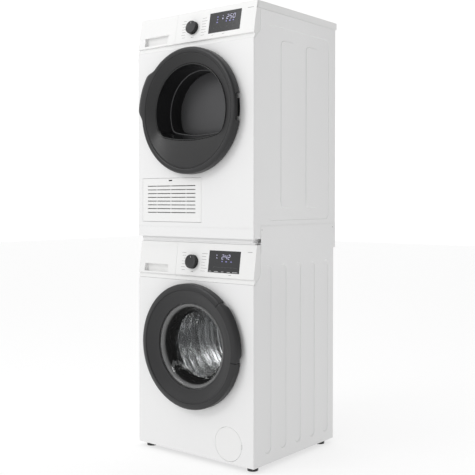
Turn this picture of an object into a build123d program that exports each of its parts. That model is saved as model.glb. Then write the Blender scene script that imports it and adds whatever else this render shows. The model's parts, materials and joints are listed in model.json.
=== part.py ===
from build123d import *
import math
import os

# Washing machine with a tumble dryer stacked on it, joined by a stacking kit.
# Millimetres. X to the right, Y to the rear, Z up. The origin is on the floor,
# under the middle of the stack.

# ---- overall sizes
HALF_WIDTH = 298.0        # cabinet, outside of the side panels
FRONT = -260.0            # outer face of both front panels
DOOR_FACE = -300.0        # foremost point of both door rings
WASHER_REAR = 278.0
DRYER_REAR = 290.0
LID_REAR = 300.0
SHEET = 2.0               # pressed side and rear panels
FRONT_SHEET = 2.7
WALL = 3.0                # moulded plastic walls
CHEEK_REAR = -220.0       # rear edge of the fascia's side cheeks

WASHER_BOTTOM = 18.0
WASHER_FRONT_TOP = 695.0
WASHER_TOP = 842.0
WASHER_LEAN = 19.0        # how far the fascia leans back at its top
WASHER_DOOR_Z = 442.5
KIT_TOP = 850.0
DRYER_BOTTOM = 864.0
PLINTH_SEAM = 902.8
DRYER_FRONT_TOP = 1599.0
DRYER_TOP = 1739.0
DRYER_LEAN = 23.0
DRYER_DOOR_Z = 1350.0
LID_BOTTOM = 1712.0
LID_TOP = 1740.0
SEAM = 0.7                # gap between neighbouring outer panels

# ---- doors and hinges
RING_RADIUS = 243.0
RING_REAR = -266.0
HINGE_X = 230.0
HINGE_Y = -283.0
KNUCKLE_RADIUS = 8.0
PIN_RADIUS = 3.0
LUG_OFFSET = 42.0         # lugs stand this far above and below the hinge's middle
LUG_HALF = 7.0
WASHER_OPENING = 188.0    # radius of the hole in the front panel
DRYER_OPENING = 195.0

# ---- controls, as (x, z) on the fascias
WASHER_KNOB = (-7.0, 768.0)
DRYER_KNOB = (-6.0, 1671.5)
WASHER_KNOB_RADIUS = 28.0
DRYER_KNOB_RADIUS = 26.0
KNOB_HEIGHT = 18.0
SPINDLE_RADIUS = 4.0
WASHER_DISPLAY = (150.0, 774.0)
DRYER_DISPLAY = (151.5, 1678.0)
DISPLAY_WIDTH = 154.0
WASHER_DISPLAY_HEIGHT = 84.0
DRYER_DISPLAY_HEIGHT = 80.0
DRAWER_SEAM = -95.0       # X of the seam between the drawer front and the fascia

# ---- pump filter behind its round cover
FILTER_X = 177.0
FILTER_Z = 90.0
COVER_RADIUS = 64.2
COVER_GAP = 1.0

# ---- drums
WASHER_DRUM_RADIUS = 235.0
WASHER_DRUM_FRONT = -180.0
WASHER_DRUM_REAR = 160.0
WASHER_TUB_RADIUS = 262.0
SHAFT_RADIUS = 15.0
DRYER_DRUM_RADIUS = 278.0
DRYER_DRUM_FRONT = -188.0
DRYER_DRUM_REAR = 250.0
WASHER_PULLEY_RADIUS = 140.0
WASHER_MOTOR_PULLEY_RADIUS = 12.0
WASHER_MOTOR_Z = 122.0
DRYER_MOTOR_PULLEY_RADIUS = 10.0
DRYER_MOTOR_X = 190.0
DRYER_MOTOR_Z = 985.0
BELT_THICKNESS = 3.0
BELT_GAP = 0.3

# ---- service flap, as ranges of X and Z
FLAP_X = (-273.0, 42.0)
FLAP_Z = (922.0, 1094.0)

os.makedirs("parts", exist_ok=True)


# ------------------------------------------------------------------ helpers
def save(name, *solids):
    """Writes one node; several separate solids are kept side by side."""
    shape = solids[0] if len(solids) == 1 else Compound(children=list(solids))
    export_step(shape, f"parts/{name}.step")


def block(x0, x1, y0, y1, z0, z1):
    centre = Pos((x0 + x1) / 2, (y0 + y1) / 2, (z0 + z1) / 2)
    return centre * Box(x1 - x0, y1 - y0, z1 - z0)


def along_y(radius, y0, y1, x=0.0, z=0.0):
    return Pos(x, (y0 + y1) / 2, z) * Rot(90, 0, 0) * Cylinder(radius, y1 - y0)


def along_x(radius, x0, x1, y, z):
    return Pos((x0 + x1) / 2, y, z) * Rot(0, 90, 0) * Cylinder(radius, x1 - x0)


def along_z(radius, z0, z1, x, y):
    return Pos(x, y, (z0 + z1) / 2) * Cylinder(radius, z1 - z0)


def turned(points, z=0.0, angle=360.0):
    """Turns a closed outline of (radius, Y) points about the line along Y through height z."""
    outline = Polyline(*points, close=True)
    return Pos(0, 0, z) * revolve(make_face(outline), Axis.Y, angle)


def prism_x(points, x0, x1):
    """A closed outline of (Y, Z) points, drawn out along X."""
    face = make_face(Polyline(*[(0, y, z) for y, z in points], close=True))
    return Pos(x0, 0, 0) * extrude(face, x1 - x0, dir=(1, 0, 0))


def prism_z(points, z0, z1):
    """A closed outline of (X, Y) points, drawn out along Z."""
    face = make_face(Polyline(*[(x, y, 0) for x, y in points], close=True))
    return Pos(0, 0, z0) * extrude(face, z1 - z0, dir=(0, 0, 1))


def mirrored(shape):
    return mirror(shape, about=Plane.YZ)


def tray(x0, x1, y0, y1, z0, z1, wall):
    """An open box with a floor and four walls."""
    hollow = block(x0 + wall, x1 - wall, y0 + wall, y1 - wall, z0 + wall, z1 + wall)
    return block(x0, x1, y0, y1, z0, z1) - hollow


# ------------------------------------------------------------------ side panels
def side_plate(rear, z0, z1, cheek_bottom):
    """Right-hand side sheet, with its front top corner cut away for the fascia's cheek."""
    plate = block(HALF_WIDTH - SHEET, HALF_WIDTH, FRONT + FRONT_SHEET + 0.3, rear, z0, z1)
    corner = prism_x(
        [
            (FRONT - 1, cheek_bottom - SEAM),
            (FRONT + 8, cheek_bottom - SEAM),
            (CHEEK_REAR + SEAM, cheek_bottom + 34),
            (CHEEK_REAR + SEAM, z1 + 1),
            (FRONT - 1, z1 + 1),
        ],
        HALF_WIDTH - 10,
        HALF_WIDTH + 10,
    )
    return plate - corner


def pressed_slot(plate, y, z0, z1, width, depth):
    """Presses a round-ended rib into the plate with sloping sides."""
    length = z1 - z0
    middle = (z0 + z1) / 2
    outside = Plane.YZ.offset(HALF_WIDTH) * Pos(y, middle) * SlotOverall(length, width, rotation=90)
    back = Plane.YZ.offset(HALF_WIDTH - SHEET - depth) * Pos(y, middle)
    boss = extrude(back * SlotOverall(length + 2, width + 2, rotation=90), depth)
    return plate + boss - extrude(outside, -depth, taper=50)


def rounded(y0, y1, z0, z1, radius, offset):
    centre = Plane.YZ.offset(offset) * Pos((y0 + y1) / 2, (z0 + z1) / 2)
    return centre * RectangleRounded(y1 - y0, z1 - z0, radius)


RIB_PITCH = 97.75
RIB_FIRST = -172.0
RIB_DEPTH = 3.0
washer_side = side_plate(WASHER_REAR, WASHER_BOTTOM, WASHER_TOP, WASHER_FRONT_TOP)
for rib in range(5):
    washer_side = pressed_slot(washer_side, RIB_FIRST + rib * RIB_PITCH, 56, 765, 42, RIB_DEPTH)
save("washer_right_side_panel", washer_side)
save("washer_left_side_panel", mirrored(washer_side))

FIELD_DEPTH = 1.4
EMBOSS_HEIGHT = 2.4
dryer_side = side_plate(DRYER_REAR, DRYER_BOTTOM, LID_BOTTOM - SEAM, DRYER_FRONT_TOP)
field = rounded(-171, 241, 930, 1661, 22, HALF_WIDTH)
field_back = rounded(-173, 243, 928, 1663, 24, HALF_WIDTH - SHEET - FIELD_DEPTH)
dryer_side += extrude(field_back, FIELD_DEPTH)
dryer_side -= extrude(field, -FIELD_DEPTH, taper=50)
for y0 in (-92, 76):
    raised = rounded(y0, y0 + 90, 977, 1613, 20, HALF_WIDTH - FIELD_DEPTH)
    dryer_side += extrude(raised, EMBOSS_HEIGHT, taper=45)
save("dryer_right_side_panel", dryer_side)
save("dryer_left_side_panel", mirrored(dryer_side))


# ------------------------------------------------------------------ fasteners
SCREW_HEAD = 4.5
SCREW_SHANK = 2.0
screws = []


def rear_screws(panel, rear, xs, zs):
    """Drills a rear panel and adds the screws that hold it."""
    for x in xs:
        for z in zs:
            panel -= along_y(SCREW_SHANK + 0.1, rear - 9, rear + 1, x, z)
            screw = along_y(SCREW_SHANK, rear - 8, rear, x, z)
            screws.append(screw + along_y(SCREW_HEAD, rear, rear + 2.5, x, z))
    return panel


# ------------------------------------------------------------------ washer shell
FEET = [(x, y) for x in (-263, 263) for y in (-220, 230)]
FOOT_RADIUS = 21.0
STEM_RADIUS = 6.0
feet = []
for x, y in FEET:
    pad = along_z(FOOT_RADIUS, 0, 8, x, y) + Pos(x, y, 12.7) * Cone(19, 12, 9.4)
    feet.append(pad + along_z(STEM_RADIUS, 8, 44, x, y))
save("washer_feet", *feet)

base = tray(-292.5, 292.5, -255, WASHER_REAR - 2.5, WASHER_BOTTOM, 53, WALL)
for x, y in FEET:
    base += along_z(12, WASHER_BOTTOM, 40, x, y)
    base -= along_z(STEM_RADIUS + 0.3, WASHER_BOTTOM - 1, 41, x, y)
base -= block(-150, 150, -200, 200, WASHER_BOTTOM - 1, WASHER_BOTTOM + WALL + 1)
save("washer_base_tray", base)

COVER_DISH = 120.0
rear = block(-293, 293, WASHER_REAR - SHEET, WASHER_REAR, 56, WASHER_TOP - SEAM)
rear += along_y(COVER_DISH, WASHER_REAR, WASHER_REAR + 4, 0, 420)
rear -= along_y(COVER_DISH - SHEET, WASHER_REAR - 3, WASHER_REAR + 2, 0, 420)
rear = rear_screws(rear, WASHER_REAR, (-280, 280), (80, 440, 815))
VALVE_X = -225.0
VALVE_Z = 782.0
VALVE_RADIUS = 13.2       # three-quarter inch hose thread
VALVE_COLLAR = 18.0
THREAD_START = WASHER_REAR + 2.0
rear -= along_y(VALVE_COLLAR + 0.5, WASHER_REAR - 4, WASHER_REAR + 1, VALVE_X, VALVE_Z)
save("washer_rear_panel", rear)

valve = along_y(VALVE_RADIUS, THREAD_START, THREAD_START + 12, VALVE_X, VALVE_Z)
valve += along_y(VALVE_RADIUS - 1, WASHER_REAR - 24, THREAD_START + 1, VALVE_X, VALVE_Z)
valve += along_y(VALVE_COLLAR, WASHER_REAR - 24, WASHER_REAR + 1, VALVE_X, VALVE_Z)
valve += block(VALVE_X - 20, VALVE_X + 20, WASHER_REAR - 70, WASHER_REAR - 22, 762, 802)
valve -= along_y(8, WASHER_REAR - 20, THREAD_START + 13, VALVE_X, VALVE_Z)
save("washer_inlet_valve", valve)


def front_sheet(z0, z1, door_z, opening, hinge_side):
    """Front panel with a collared door opening and slots for the hinge lugs."""
    rear_face = FRONT + FRONT_SHEET
    sheet = block(-HALF_WIDTH, HALF_WIDTH, FRONT, rear_face, z0, z1)
    sheet = fillet(sheet.edges().filter_by(Axis.Z).group_by(Axis.Y)[0], 2.0)
    sheet += along_y(opening + SHEET, rear_face - 1, -236, 0, door_z)
    sheet -= along_y(opening, FRONT - 1, -235, 0, door_z)
    for step in (-LUG_OFFSET, LUG_OFFSET):
        z = door_z + step
        slot = block(202.5, 220.5, FRONT - 1, rear_face + 1, z - LUG_HALF - 0.5, z + LUG_HALF + 0.5)
        sheet -= slot if hinge_side > 0 else mirrored(slot)
    return sheet


panel = front_sheet(WASHER_BOTTOM, WASHER_FRONT_TOP, WASHER_DOOR_Z, WASHER_OPENING, -1)
panel -= along_y(COVER_RADIUS + COVER_GAP, FRONT - 1, FRONT + 4, FILTER_X, FILTER_Z)
notch = block(FILTER_X + 60, FILTER_X + 72, FRONT - 1, FRONT + 1.8, FILTER_Z - 9, FILTER_Z + 9)
panel -= notch
save("washer_front_panel", panel)

cover = along_y(COVER_RADIUS, FRONT, FRONT + 2.2, FILTER_X, FILTER_Z)
cover -= block(FILTER_X + 61, FILTER_X + 66, FRONT - 1, FRONT + 1, FILTER_Z - 8, FILTER_Z + 8)
save("washer_filter_cover", cover)

pump = along_y(36, -236, -150, FILTER_X, FILTER_Z) + along_y(30, -150, -90, FILTER_X, FILTER_Z)
pump -= along_y(26.3, -237, -160, FILTER_X, FILTER_Z)
save("washer_drain_pump", pump)

cap = along_y(34, -246, -236.3, FILTER_X, FILTER_Z) + along_y(26, -236.3, -170, FILTER_X, FILTER_Z)
cap += block(FILTER_X - 28, FILTER_X + 28, -254, -246, FILTER_Z - 4, FILTER_Z + 4)
cap -= along_y(22, -230, -169, FILTER_X, FILTER_Z)
save("washer_pump_filter", cap)


# ------------------------------------------------------------------ fascias and drawers
def fascia_front(z0, z1, lean, x0, x1):
    """Leaning front wall with the slanted finger groove along its lower edge."""
    step = z0 + 18
    outline = [
        (FRONT + 1.5, z0),
        (FRONT + 8, step - 1),
        (FRONT, step + 1),
        (FRONT + lean, z1),
        (FRONT + lean + WALL, z1),
        (FRONT + WALL, step + 4),
        (FRONT + 11.5, step + 2),
        (FRONT + 4.5, z0),
    ]
    return prism_x(outline, x0, x1)


def fascia_cheek(z0, z_top, z1, lean, x0, x1):
    """Side cheek that closes the end of the leaning front."""
    step = z0 + 18
    top_y = FRONT + lean * (z_top - step) / (z1 - step)
    outline = [
        (FRONT + 1.5, z0),
        (FRONT + 8, step - 1),
        (FRONT, step + 1),
        (top_y, z_top),
        (CHEEK_REAR, z_top),
        (CHEEK_REAR, z0 + 34),
        (FRONT + 8, z0),
    ]
    return prism_x(outline, x0, x1)


def on_fascia(place, z0, z1, lean):
    """Plane on the leaning front at (x, z), its normal pointing out of the front."""
    x, z = place
    step = z0 + 19
    slope = math.atan2(lean, z1 - step)
    y = FRONT + lean * (z - step) / (z1 - step)
    return Plane((x, y, z), x_dir=(1, 0, 0), z_dir=(0, -math.cos(slope), math.sin(slope)))


def grip(front, x0, x1, z0, z1):
    """Adds a finger recess to a drawer front."""
    pocket = block(x0 - 2, x1 + 2, FRONT + 6, -238, z0 - 2, z1 + 3)
    return front + pocket - block(x0, x1, FRONT - 5, -240, z0, z1)


def controls(fascia, knob_plane, display_plane, height):
    """Cuts the spindle hole and the display's opening."""
    fascia -= knob_plane * Cylinder(SPINDLE_RADIUS + 0.05, 30)
    return fascia - display_plane * Box(DISPLAY_WIDTH, height, 20)


def window(plane, height):
    return plane * Pos(0, 0, -1.4) * Box(DISPLAY_WIDTH - 0.4, height - 0.4, 2.8)


def knob(plane, radius):
    body = plane * Pos(0, 0, 0.5 + KNOB_HEIGHT / 2) * Cylinder(radius, KNOB_HEIGHT)
    body = fillet(body.edges().group_by(Axis.Y)[0], 2.0)
    return body + plane * Pos(0, 0, -9) * Cylinder(SPINDLE_RADIUS, 20)


WASHER_FASCIA_Z = WASHER_FRONT_TOP + SEAM
DRYER_FASCIA_Z = DRYER_FRONT_TOP + SEAM
LEFT_END = -HALF_WIDTH
DRAWER_END = DRAWER_SEAM - SEAM / 2
FASCIA_START = DRAWER_SEAM + SEAM / 2

washer_limits = (WASHER_FASCIA_Z, WASHER_TOP, WASHER_LEAN)
washer_knob_plane = on_fascia(WASHER_KNOB, *washer_limits)
washer_display_plane = on_fascia(WASHER_DISPLAY, *washer_limits)
fascia = fascia_front(*washer_limits, FASCIA_START, HALF_WIDTH)
fascia += fascia_cheek(WASHER_FASCIA_Z, WASHER_TOP, WASHER_TOP, WASHER_LEAN, HALF_WIDTH - WALL, HALF_WIDTH)
fascia = controls(fascia, washer_knob_plane, washer_display_plane, WASHER_DISPLAY_HEIGHT)
save("washer_fascia", fascia)
save("washer_program_knob", knob(washer_knob_plane, WASHER_KNOB_RADIUS))

front = fascia_front(*washer_limits, LEFT_END, DRAWER_END)
front += fascia_cheek(WASHER_FASCIA_Z, WASHER_TOP, WASHER_TOP, WASHER_LEAN, LEFT_END, LEFT_END + WALL)
save("washer_drawer_front", grip(front, -266, -137, 721, 752))

TRAY_X = (-284.0, -109.0)
TRAY_Z = (730.0, 798.0)
TRAY_REAR = -22.0
PARTITIONS = (-228.0, -170.0)
drawer = tray(*TRAY_X, -238, TRAY_REAR, *TRAY_Z, 2.5)
for x in PARTITIONS:
    drawer += block(x - 1, x + 1, -237, TRAY_REAR - 1, TRAY_Z[0] + 1, TRAY_Z[1] - 4)
save("washer_detergent_drawer", drawer)

housing = block(-290, -103, -232, -14, 724, 806)
housing -= block(-287.5, -105.5, -240, -16.5, 726.5, 803.5)
save("washer_drawer_housing", housing)

dryer_limits = (DRYER_FASCIA_Z, DRYER_TOP, DRYER_LEAN)
dryer_knob_plane = on_fascia(DRYER_KNOB, *dryer_limits)
dryer_display_plane = on_fascia(DRYER_DISPLAY, *dryer_limits)
CHEEK_TOP = LID_BOTTOM - SEAM
fascia = fascia_front(*dryer_limits, FASCIA_START, HALF_WIDTH)
fascia += fascia_cheek(DRYER_FASCIA_Z, CHEEK_TOP, DRYER_TOP, DRYER_LEAN, HALF_WIDTH - WALL, HALF_WIDTH)
fascia = controls(fascia, dryer_knob_plane, dryer_display_plane, DRYER_DISPLAY_HEIGHT)
save("dryer_fascia", fascia)
save("dryer_program_knob", knob(dryer_knob_plane, DRYER_KNOB_RADIUS))
save(
    "display_windows",
    window(washer_display_plane, WASHER_DISPLAY_HEIGHT),
    window(dryer_display_plane, DRYER_DISPLAY_HEIGHT),
)

TANK_X = (-284.0, -112.0)
TANK_Z = (1634.0, 1702.0)
TANK_REAR = 250.0
front = fascia_front(*dryer_limits, LEFT_END, DRAWER_END)
front += fascia_cheek(DRYER_FASCIA_Z, CHEEK_TOP, DRYER_TOP, DRYER_LEAN, LEFT_END, LEFT_END + WALL)
tank = grip(front, -263, -135, 1627, 1660)
tank += block(*TANK_X, -239, TANK_REAR, *TANK_Z)
tank -= block(TANK_X[0] + 3, TANK_X[1] - 3, -235, TANK_REAR - 3, TANK_Z[0] + 3, TANK_Z[1] - 3)
tank -= block(-220, -176, -200, -150, TANK_Z[1] - 5, TANK_Z[1] + 1)
save("dryer_water_tank", tank)


# ------------------------------------------------------------------ doors
def hinge_lugs(side, z):
    """Two fixed lugs on a plate behind the front panel, slotted through it."""
    plate = block(198, 232, FRONT + FRONT_SHEET + 0.1, -253, z - 56, z + 56)
    for step in (-LUG_OFFSET, LUG_OFFSET):
        low = z + step - LUG_HALF
        high = z + step + LUG_HALF
        outline = [(229, -275.2), (222.5, -286), (204, FRONT), (204, -254), (219, -254), (219, FRONT)]
        arm = prism_z(outline, low, high)
        plate += arm + along_z(KNUCKLE_RADIUS, low, high, HINGE_X, HINGE_Y)
    plate -= along_z(PIN_RADIUS + 0.02, z - 60, z + 60, HINGE_X, HINGE_Y)
    return plate if side > 0 else mirrored(plate)


def hinge_pin(side, z):
    return along_z(PIN_RADIUS, z - LUG_OFFSET - 9, z + LUG_OFFSET + 9, side * HINGE_X, HINGE_Y)


def door_knuckle(z):
    """Barrel that turns on the pin between the two lugs, right-hand door."""
    half = LUG_OFFSET - LUG_HALF - 0.4
    arm = prism_z([(229, -275.2), (222.5, -286), (205, -268), (205, -265), (226, -265)], z - half, z + half)
    return arm + along_z(KNUCKLE_RADIUS, z - half, z + half, HINGE_X, HINGE_Y)


def lug_room(z, x0, y0, y1):
    """Space for the two lugs, cut from a right-hand door's pieces."""
    room = []
    for step in (-LUG_OFFSET, LUG_OFFSET):
        low = z + step - LUG_HALF - 1.5
        room.append(block(x0, RING_RADIUS + 5, y0, y1, low, low + 2 * LUG_HALF + 3))
    return room


def hinge_window(z):
    """Opening in a right-hand ring's side that shows the lugs and the barrel between them."""
    reach = LUG_OFFSET + LUG_HALF + 1.5
    return [block(226, RING_RADIUS + 5, -293, RING_REAR + 1, z - reach, z + reach)]


def hinge_side(shapes, side):
    return shapes if side > 0 else [mirrored(shape) for shape in shapes]


def rear_frame(side, z, inner):
    """Flat ring at the back of a door, with the hinge barrel on it."""
    rim = 236.0
    ring = turned([(inner, -266), (rim, -266), (rim, -262.7), (inner, -262.7)], z)
    barrel = hinge_side([door_knuckle(z)], side)[0]
    ring += barrel
    for room in hinge_side(lug_room(z, 198, -272, -262), side):
        ring -= room
    bore = along_z(PIN_RADIUS + 0.06, z - 60, z + 60, side * HINGE_X, HINGE_Y)
    return ring - bore


# washer door: hinged on the left, lever handle on the right
LEVER_FROM = -9.0         # degrees above the horizontal
LEVER_TO = 48.0
LEVER_INNER = 218.5
ring = turned(
    [
        (RING_RADIUS, RING_REAR),
        (RING_RADIUS, -293),
        (236, DOOR_FACE),
        (219, -297.5),
        (172, -276),
        (168, -276),
        (168, -272.5),
        (173.5, -272.5),
        (219, -293.7),
        (235, -296.5),
        (239.5, -291),
        (239.5, RING_REAR),
    ],
    WASHER_DOOR_Z,
)
sweep_angle = LEVER_TO - LEVER_FROM + 1.0
gap = turned([(217.5, -305), (262, -305), (262, -262), (217.5, -262)], 0, angle=sweep_angle)
ring -= Pos(0, 0, WASHER_DOOR_Z) * Rot(0, -LEVER_TO - 0.5, 0) * gap
for room in hinge_side(hinge_window(WASHER_DOOR_Z), -1):
    ring -= room
save("washer_door_ring", ring)

frame = rear_frame(-1, WASHER_DOOR_Z, 156.0)
frame += turned([(168.2, -272.3), (174, -272.3), (174, -265), (168.2, -265)], WASHER_DOOR_Z)
save("washer_door_inner_frame", frame)

glass = turned(
    [
        (0, -183),
        (118, -189),
        (138, -204),
        (150, -262),
        (158, -272),
        (166, -272),
        (166, -267),
        (156, -266.2),
        (144, -200),
        (122, -184),
        (0, -178),
    ],
    WASHER_DOOR_Z,
)
save("washer_door_glass", glass)

lever = turned(
    [
        (LEVER_INNER, -296.9),
        (236, -299.5),
        (243, -295),
        (255, -277),
        (252, -274.5),
        (239, -291),
        (234, -294.5),
        (LEVER_INNER, -292),
    ],
    0,
    angle=LEVER_TO - LEVER_FROM,
)
save("washer_door_handle", Pos(0, 0, WASHER_DOOR_Z) * Rot(0, -LEVER_TO, 0) * lever)
save("washer_door_hinge", hinge_lugs(-1, WASHER_DOOR_Z))

# dryer door: hinged on the right, fixed grip bump on the left
BUMP_HEIGHT = 18.0
BUMP_RISE = (134.5, 146.0)
BUMP_FALL = (176.0, 187.0)


def eased(value):
    value = min(max(value, 0.0), 1.0)
    return value * value * (3 - 2 * value)


def rim_radius(degrees):
    """Outline of the dryer's door ring: a circle with a smooth bump."""
    rise = eased((degrees - BUMP_RISE[0]) / (BUMP_RISE[1] - BUMP_RISE[0]))
    fall = eased((BUMP_FALL[1] - degrees) / (BUMP_FALL[1] - BUMP_FALL[0]))
    return RING_RADIUS + BUMP_HEIGHT * rise * fall


ring = turned(
    [
        (RING_RADIUS, RING_REAR),
        (RING_RADIUS, -293),
        (236, DOOR_FACE),
        (224, -298.5),
        (222, -296),
        (222, -293),
        (235, -296),
        (239.5, -291),
        (239.5, RING_REAR),
    ],
    DRYER_DOOR_Z,
)
BUMP_STEP = 3.5
steps = [BUMP_RISE[0] + BUMP_STEP * i for i in range(16)]
directions = [(math.cos(math.radians(a)), math.sin(math.radians(a))) for a in steps]
rim = [(rim_radius(a) * x, 0, rim_radius(a) * z) for a, (x, z) in zip(steps, directions)]
inner_rim = [(232 * x, 0, 232 * z) for x, z in directions]
edge = Spline(*rim)
back_edge = Spline(*reversed(inner_rim))
bump_face = make_face([edge, Line(edge @ 1, back_edge @ 0), back_edge, Line(back_edge @ 1, edge @ 0)])
bump = extrude(bump_face, 26, dir=(0, 1, 0))
bump = Pos(0, DOOR_FACE + 2, DRYER_DOOR_Z) * bump
ring += bump - along_y(239.5, DOOR_FACE + 4.5, -260, 0, DRYER_DOOR_Z)
for room in hinge_side(hinge_window(DRYER_DOOR_Z), 1):
    ring -= room
save("dryer_door_ring", ring)


def arch(radius, flat, corner, y):
    """Circle with a nearly flat bottom, in a plane across Y."""
    shape = Circle(radius) & (Pos(0, 600 - flat) * Circle(600))
    shape = offset(offset(shape, -corner), corner, kind=Kind.ARC)
    return Plane((0, y, DRYER_DOOR_Z), x_dir=(1, 0, 0), z_dir=(0, -1, 0)) * shape


FUNNEL_RADIUS = 221.5
MOUTH_Y = -279.0
THROAT_Y = -210.0
BOWL_END = -150.0
funnel = along_y(FUNNEL_RADIUS, -296.5, -266, 0, DRYER_DOOR_Z)
rim_circle = Plane((0, -297.0, DRYER_DOOR_Z), x_dir=(1, 0, 0), z_dir=(0, -1, 0)) * Circle(219.5)
funnel -= loft([rim_circle.face(), arch(184, 114, 58, MOUTH_Y).face()])
funnel -= extrude(arch(184, 114, 58, MOUTH_Y - 1), -20)
for room in lug_room(DRYER_DOOR_Z, 198, -276, -262) + lug_room(DRYER_DOOR_Z, 213, -290, -262):
    funnel -= room
funnel += rear_frame(1, DRYER_DOOR_Z, 196.0)
save("dryer_door_funnel", funnel)

outer = loft([arch(183, 113, 57, MOUTH_Y + 0.2).face(), arch(168, 93, 50, THROAT_Y).face()])
outer += extrude(arch(168, 93, 50, THROAT_Y), -(BOWL_END - THROAT_Y))
void = loft([arch(180, 110, 54, MOUTH_Y).face(), arch(165, 90, 47, THROAT_Y).face()])
void += extrude(arch(165, 90, 47, THROAT_Y - 0.1), -(BOWL_END - THROAT_Y - 3))
save("dryer_door_bowl", outer - void)
save("dryer_door_hinge", hinge_lugs(1, DRYER_DOOR_Z))
save("door_hinge_pins", hinge_pin(-1, WASHER_DOOR_Z), hinge_pin(1, DRYER_DOOR_Z))


# ------------------------------------------------------------------ washer inside
gasket = turned(
    [
        (187.5, -257),
        (187.5, -240),
        (178, -232),
        (184, -222),
        (178, -212),
        (186, -206),
        (186, -196),
        (180, -196),
        (180, -202),
        (170, -212),
        (176, -222),
        (164, -236),
        (163, -250),
        (170, -256),
    ],
    WASHER_DOOR_Z,
)
save("washer_door_gasket", gasket)

tub = turned(
    [
        (187, -205),
        (WASHER_TUB_RADIUS, -198),
        (WASHER_TUB_RADIUS, 196),
        (60, 200),
        (60, 214),
        (26.05, 214),
        (26.05, 198),
        (22, 198),
        (22, 190),
        (31.05, 190),
        (31.05, 172),
        (60, 172),
        (60, 190),
        (WASHER_TUB_RADIUS - 4, 190),
        (WASHER_TUB_RADIUS - 4, -194),
        (187, -201),
    ],
    WASHER_DOOR_Z,
)
save("washer_tub", tub)

R = WASHER_DRUM_RADIUS
drum = turned(
    [
        (176, WASHER_DRUM_FRONT),
        (R - 12, WASHER_DRUM_FRONT),
        (R, WASHER_DRUM_FRONT + 14),
        (R, WASHER_DRUM_REAR - 12),
        (R - 12, WASHER_DRUM_REAR),
        (0, WASHER_DRUM_REAR),
        (0, WASHER_DRUM_REAR - 2),
        (R - 13, WASHER_DRUM_REAR - 2),
        (R - 2, WASHER_DRUM_REAR - 13),
        (R - 2, WASHER_DRUM_FRONT + 15),
        (R - 13, WASHER_DRUM_FRONT + 2),
        (176, WASHER_DRUM_FRONT + 2),
    ],
    WASHER_DOOR_Z,
)
save("washer_drum", drum)


def lifters(radius, y0, y1, height, half, z):
    """Three ridged paddles inside a drum."""
    paddles = []
    for turn in range(3):
        ridge = prism_x([(y0, 0), (y0 + 40, height), (y1 - 40, height), (y1, 0)], -half, half)
        slope = Rot(0, -22, 0) * block(0, 90, y0 - 1, y1 + 1, -50, height + 60)
        ridge -= slope - block(-80, half - 1, y0, y1, -1, 6)
        low = math.sqrt(radius * radius - half * half)
        paddle = Pos(0, 0, -low) * ridge
        paddles.append(Pos(0, 0, z) * Rot(0, 120 * turn, 0) * paddle)
    return paddles


save("washer_drum_lifters", *lifters(R - 2.05, -160, 140, 52, 24, WASHER_DOOR_Z))

pulley = along_y(SHAFT_RADIUS, WASHER_DRUM_REAR + 0.05, 198, 0, WASHER_DOOR_Z)
pulley += along_y(12.5, 198, 240, 0, WASHER_DOOR_Z)
pulley += along_y(WASHER_PULLEY_RADIUS, 222, 234, 0, WASHER_DOOR_Z)
for y0, y1 in ((220, 225), (230, 236)):
    recess = along_y(WASHER_PULLEY_RADIUS - 14, y0, y1, 0, WASHER_DOOR_Z)
    pulley -= recess - along_y(28, y0 - 1, y1 + 1, 0, WASHER_DOOR_Z)
save("washer_drum_pulley", pulley)


def bearing(y0, y1, bore, outer_radius):
    return along_y(outer_radius, y0, y1, 0, WASHER_DOOR_Z) - along_y(bore, y0 - 1, y1 + 1, 0, WASHER_DOOR_Z)


save("washer_drum_bearings", bearing(172.5, 189.8, SHAFT_RADIUS + 0.05, 31), bearing(199, 213.5, 12.55, 26))


def belt(big, small, big_at, small_at, y0, y1):
    """Flat belt round two pulleys, just clear of both."""
    def loop(extra):
        first = Pos(*big_at) * Circle(big + extra)
        second = Pos(*small_at) * Circle(small + extra)
        return make_hull(first.edges() + second.edges())
    band = loop(BELT_GAP + BELT_THICKNESS) - loop(BELT_GAP)
    across = Plane((0, y0, 0), x_dir=(1, 0, 0), z_dir=(0, -1, 0))
    return extrude(across * band, -(y1 - y0))


save(
    "washer_drive_belt",
    belt(
        WASHER_PULLEY_RADIUS,
        WASHER_MOTOR_PULLEY_RADIUS,
        (0, WASHER_DOOR_Z),
        (0, WASHER_MOTOR_Z),
        223,
        233,
    ),
)

motor = along_y(54, 30, 180, 0, WASHER_MOTOR_Z) + block(-60, 60, 60, 90, 62, WASHER_MOTOR_Z)
motor -= along_y(8.3, 100, 181, 0, WASHER_MOTOR_Z)
save("washer_motor", motor)
rotor = along_y(8, 102, 238, 0, WASHER_MOTOR_Z)
rotor += along_y(WASHER_MOTOR_PULLEY_RADIUS, 218, 238, 0, WASHER_MOTOR_Z)
save("washer_motor_pulley", rotor)

front_weight = turned([(200, -234), (258, -234), (258, -208), (200, -208)], WASHER_DOOR_Z)
top_weight = block(-125, 125, 10, 160, 680, 765)
top_weight -= along_y(WASHER_TUB_RADIUS + 0.5, 0, 170, 0, WASHER_DOOR_Z)
save("washer_counterweights", front_weight, top_weight)

COIL = 5.0
springs = []
for x in (-210, 210):
    waves = []
    for turn in range(10):
        z = 650 + turn * COIL * 2
        waves += [(9, z), (14, z + COIL)]
    outline = [(3, 640)] + waves + [(3, 750)]
    coil = revolve(make_face(Polyline(*[(r, 0, z) for r, z in outline], close=True)), Axis.Z)
    springs.append(Pos(x, 120, 0) * coil)
save("washer_suspension_springs", *springs)

dampers = []
for x in (-215, 215):
    strut = along_z(14, 62, 190, x, 20) + along_z(5, 190, 286, x, 20)
    dampers.append(strut)
save("washer_suspension_dampers", *dampers)


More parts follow.
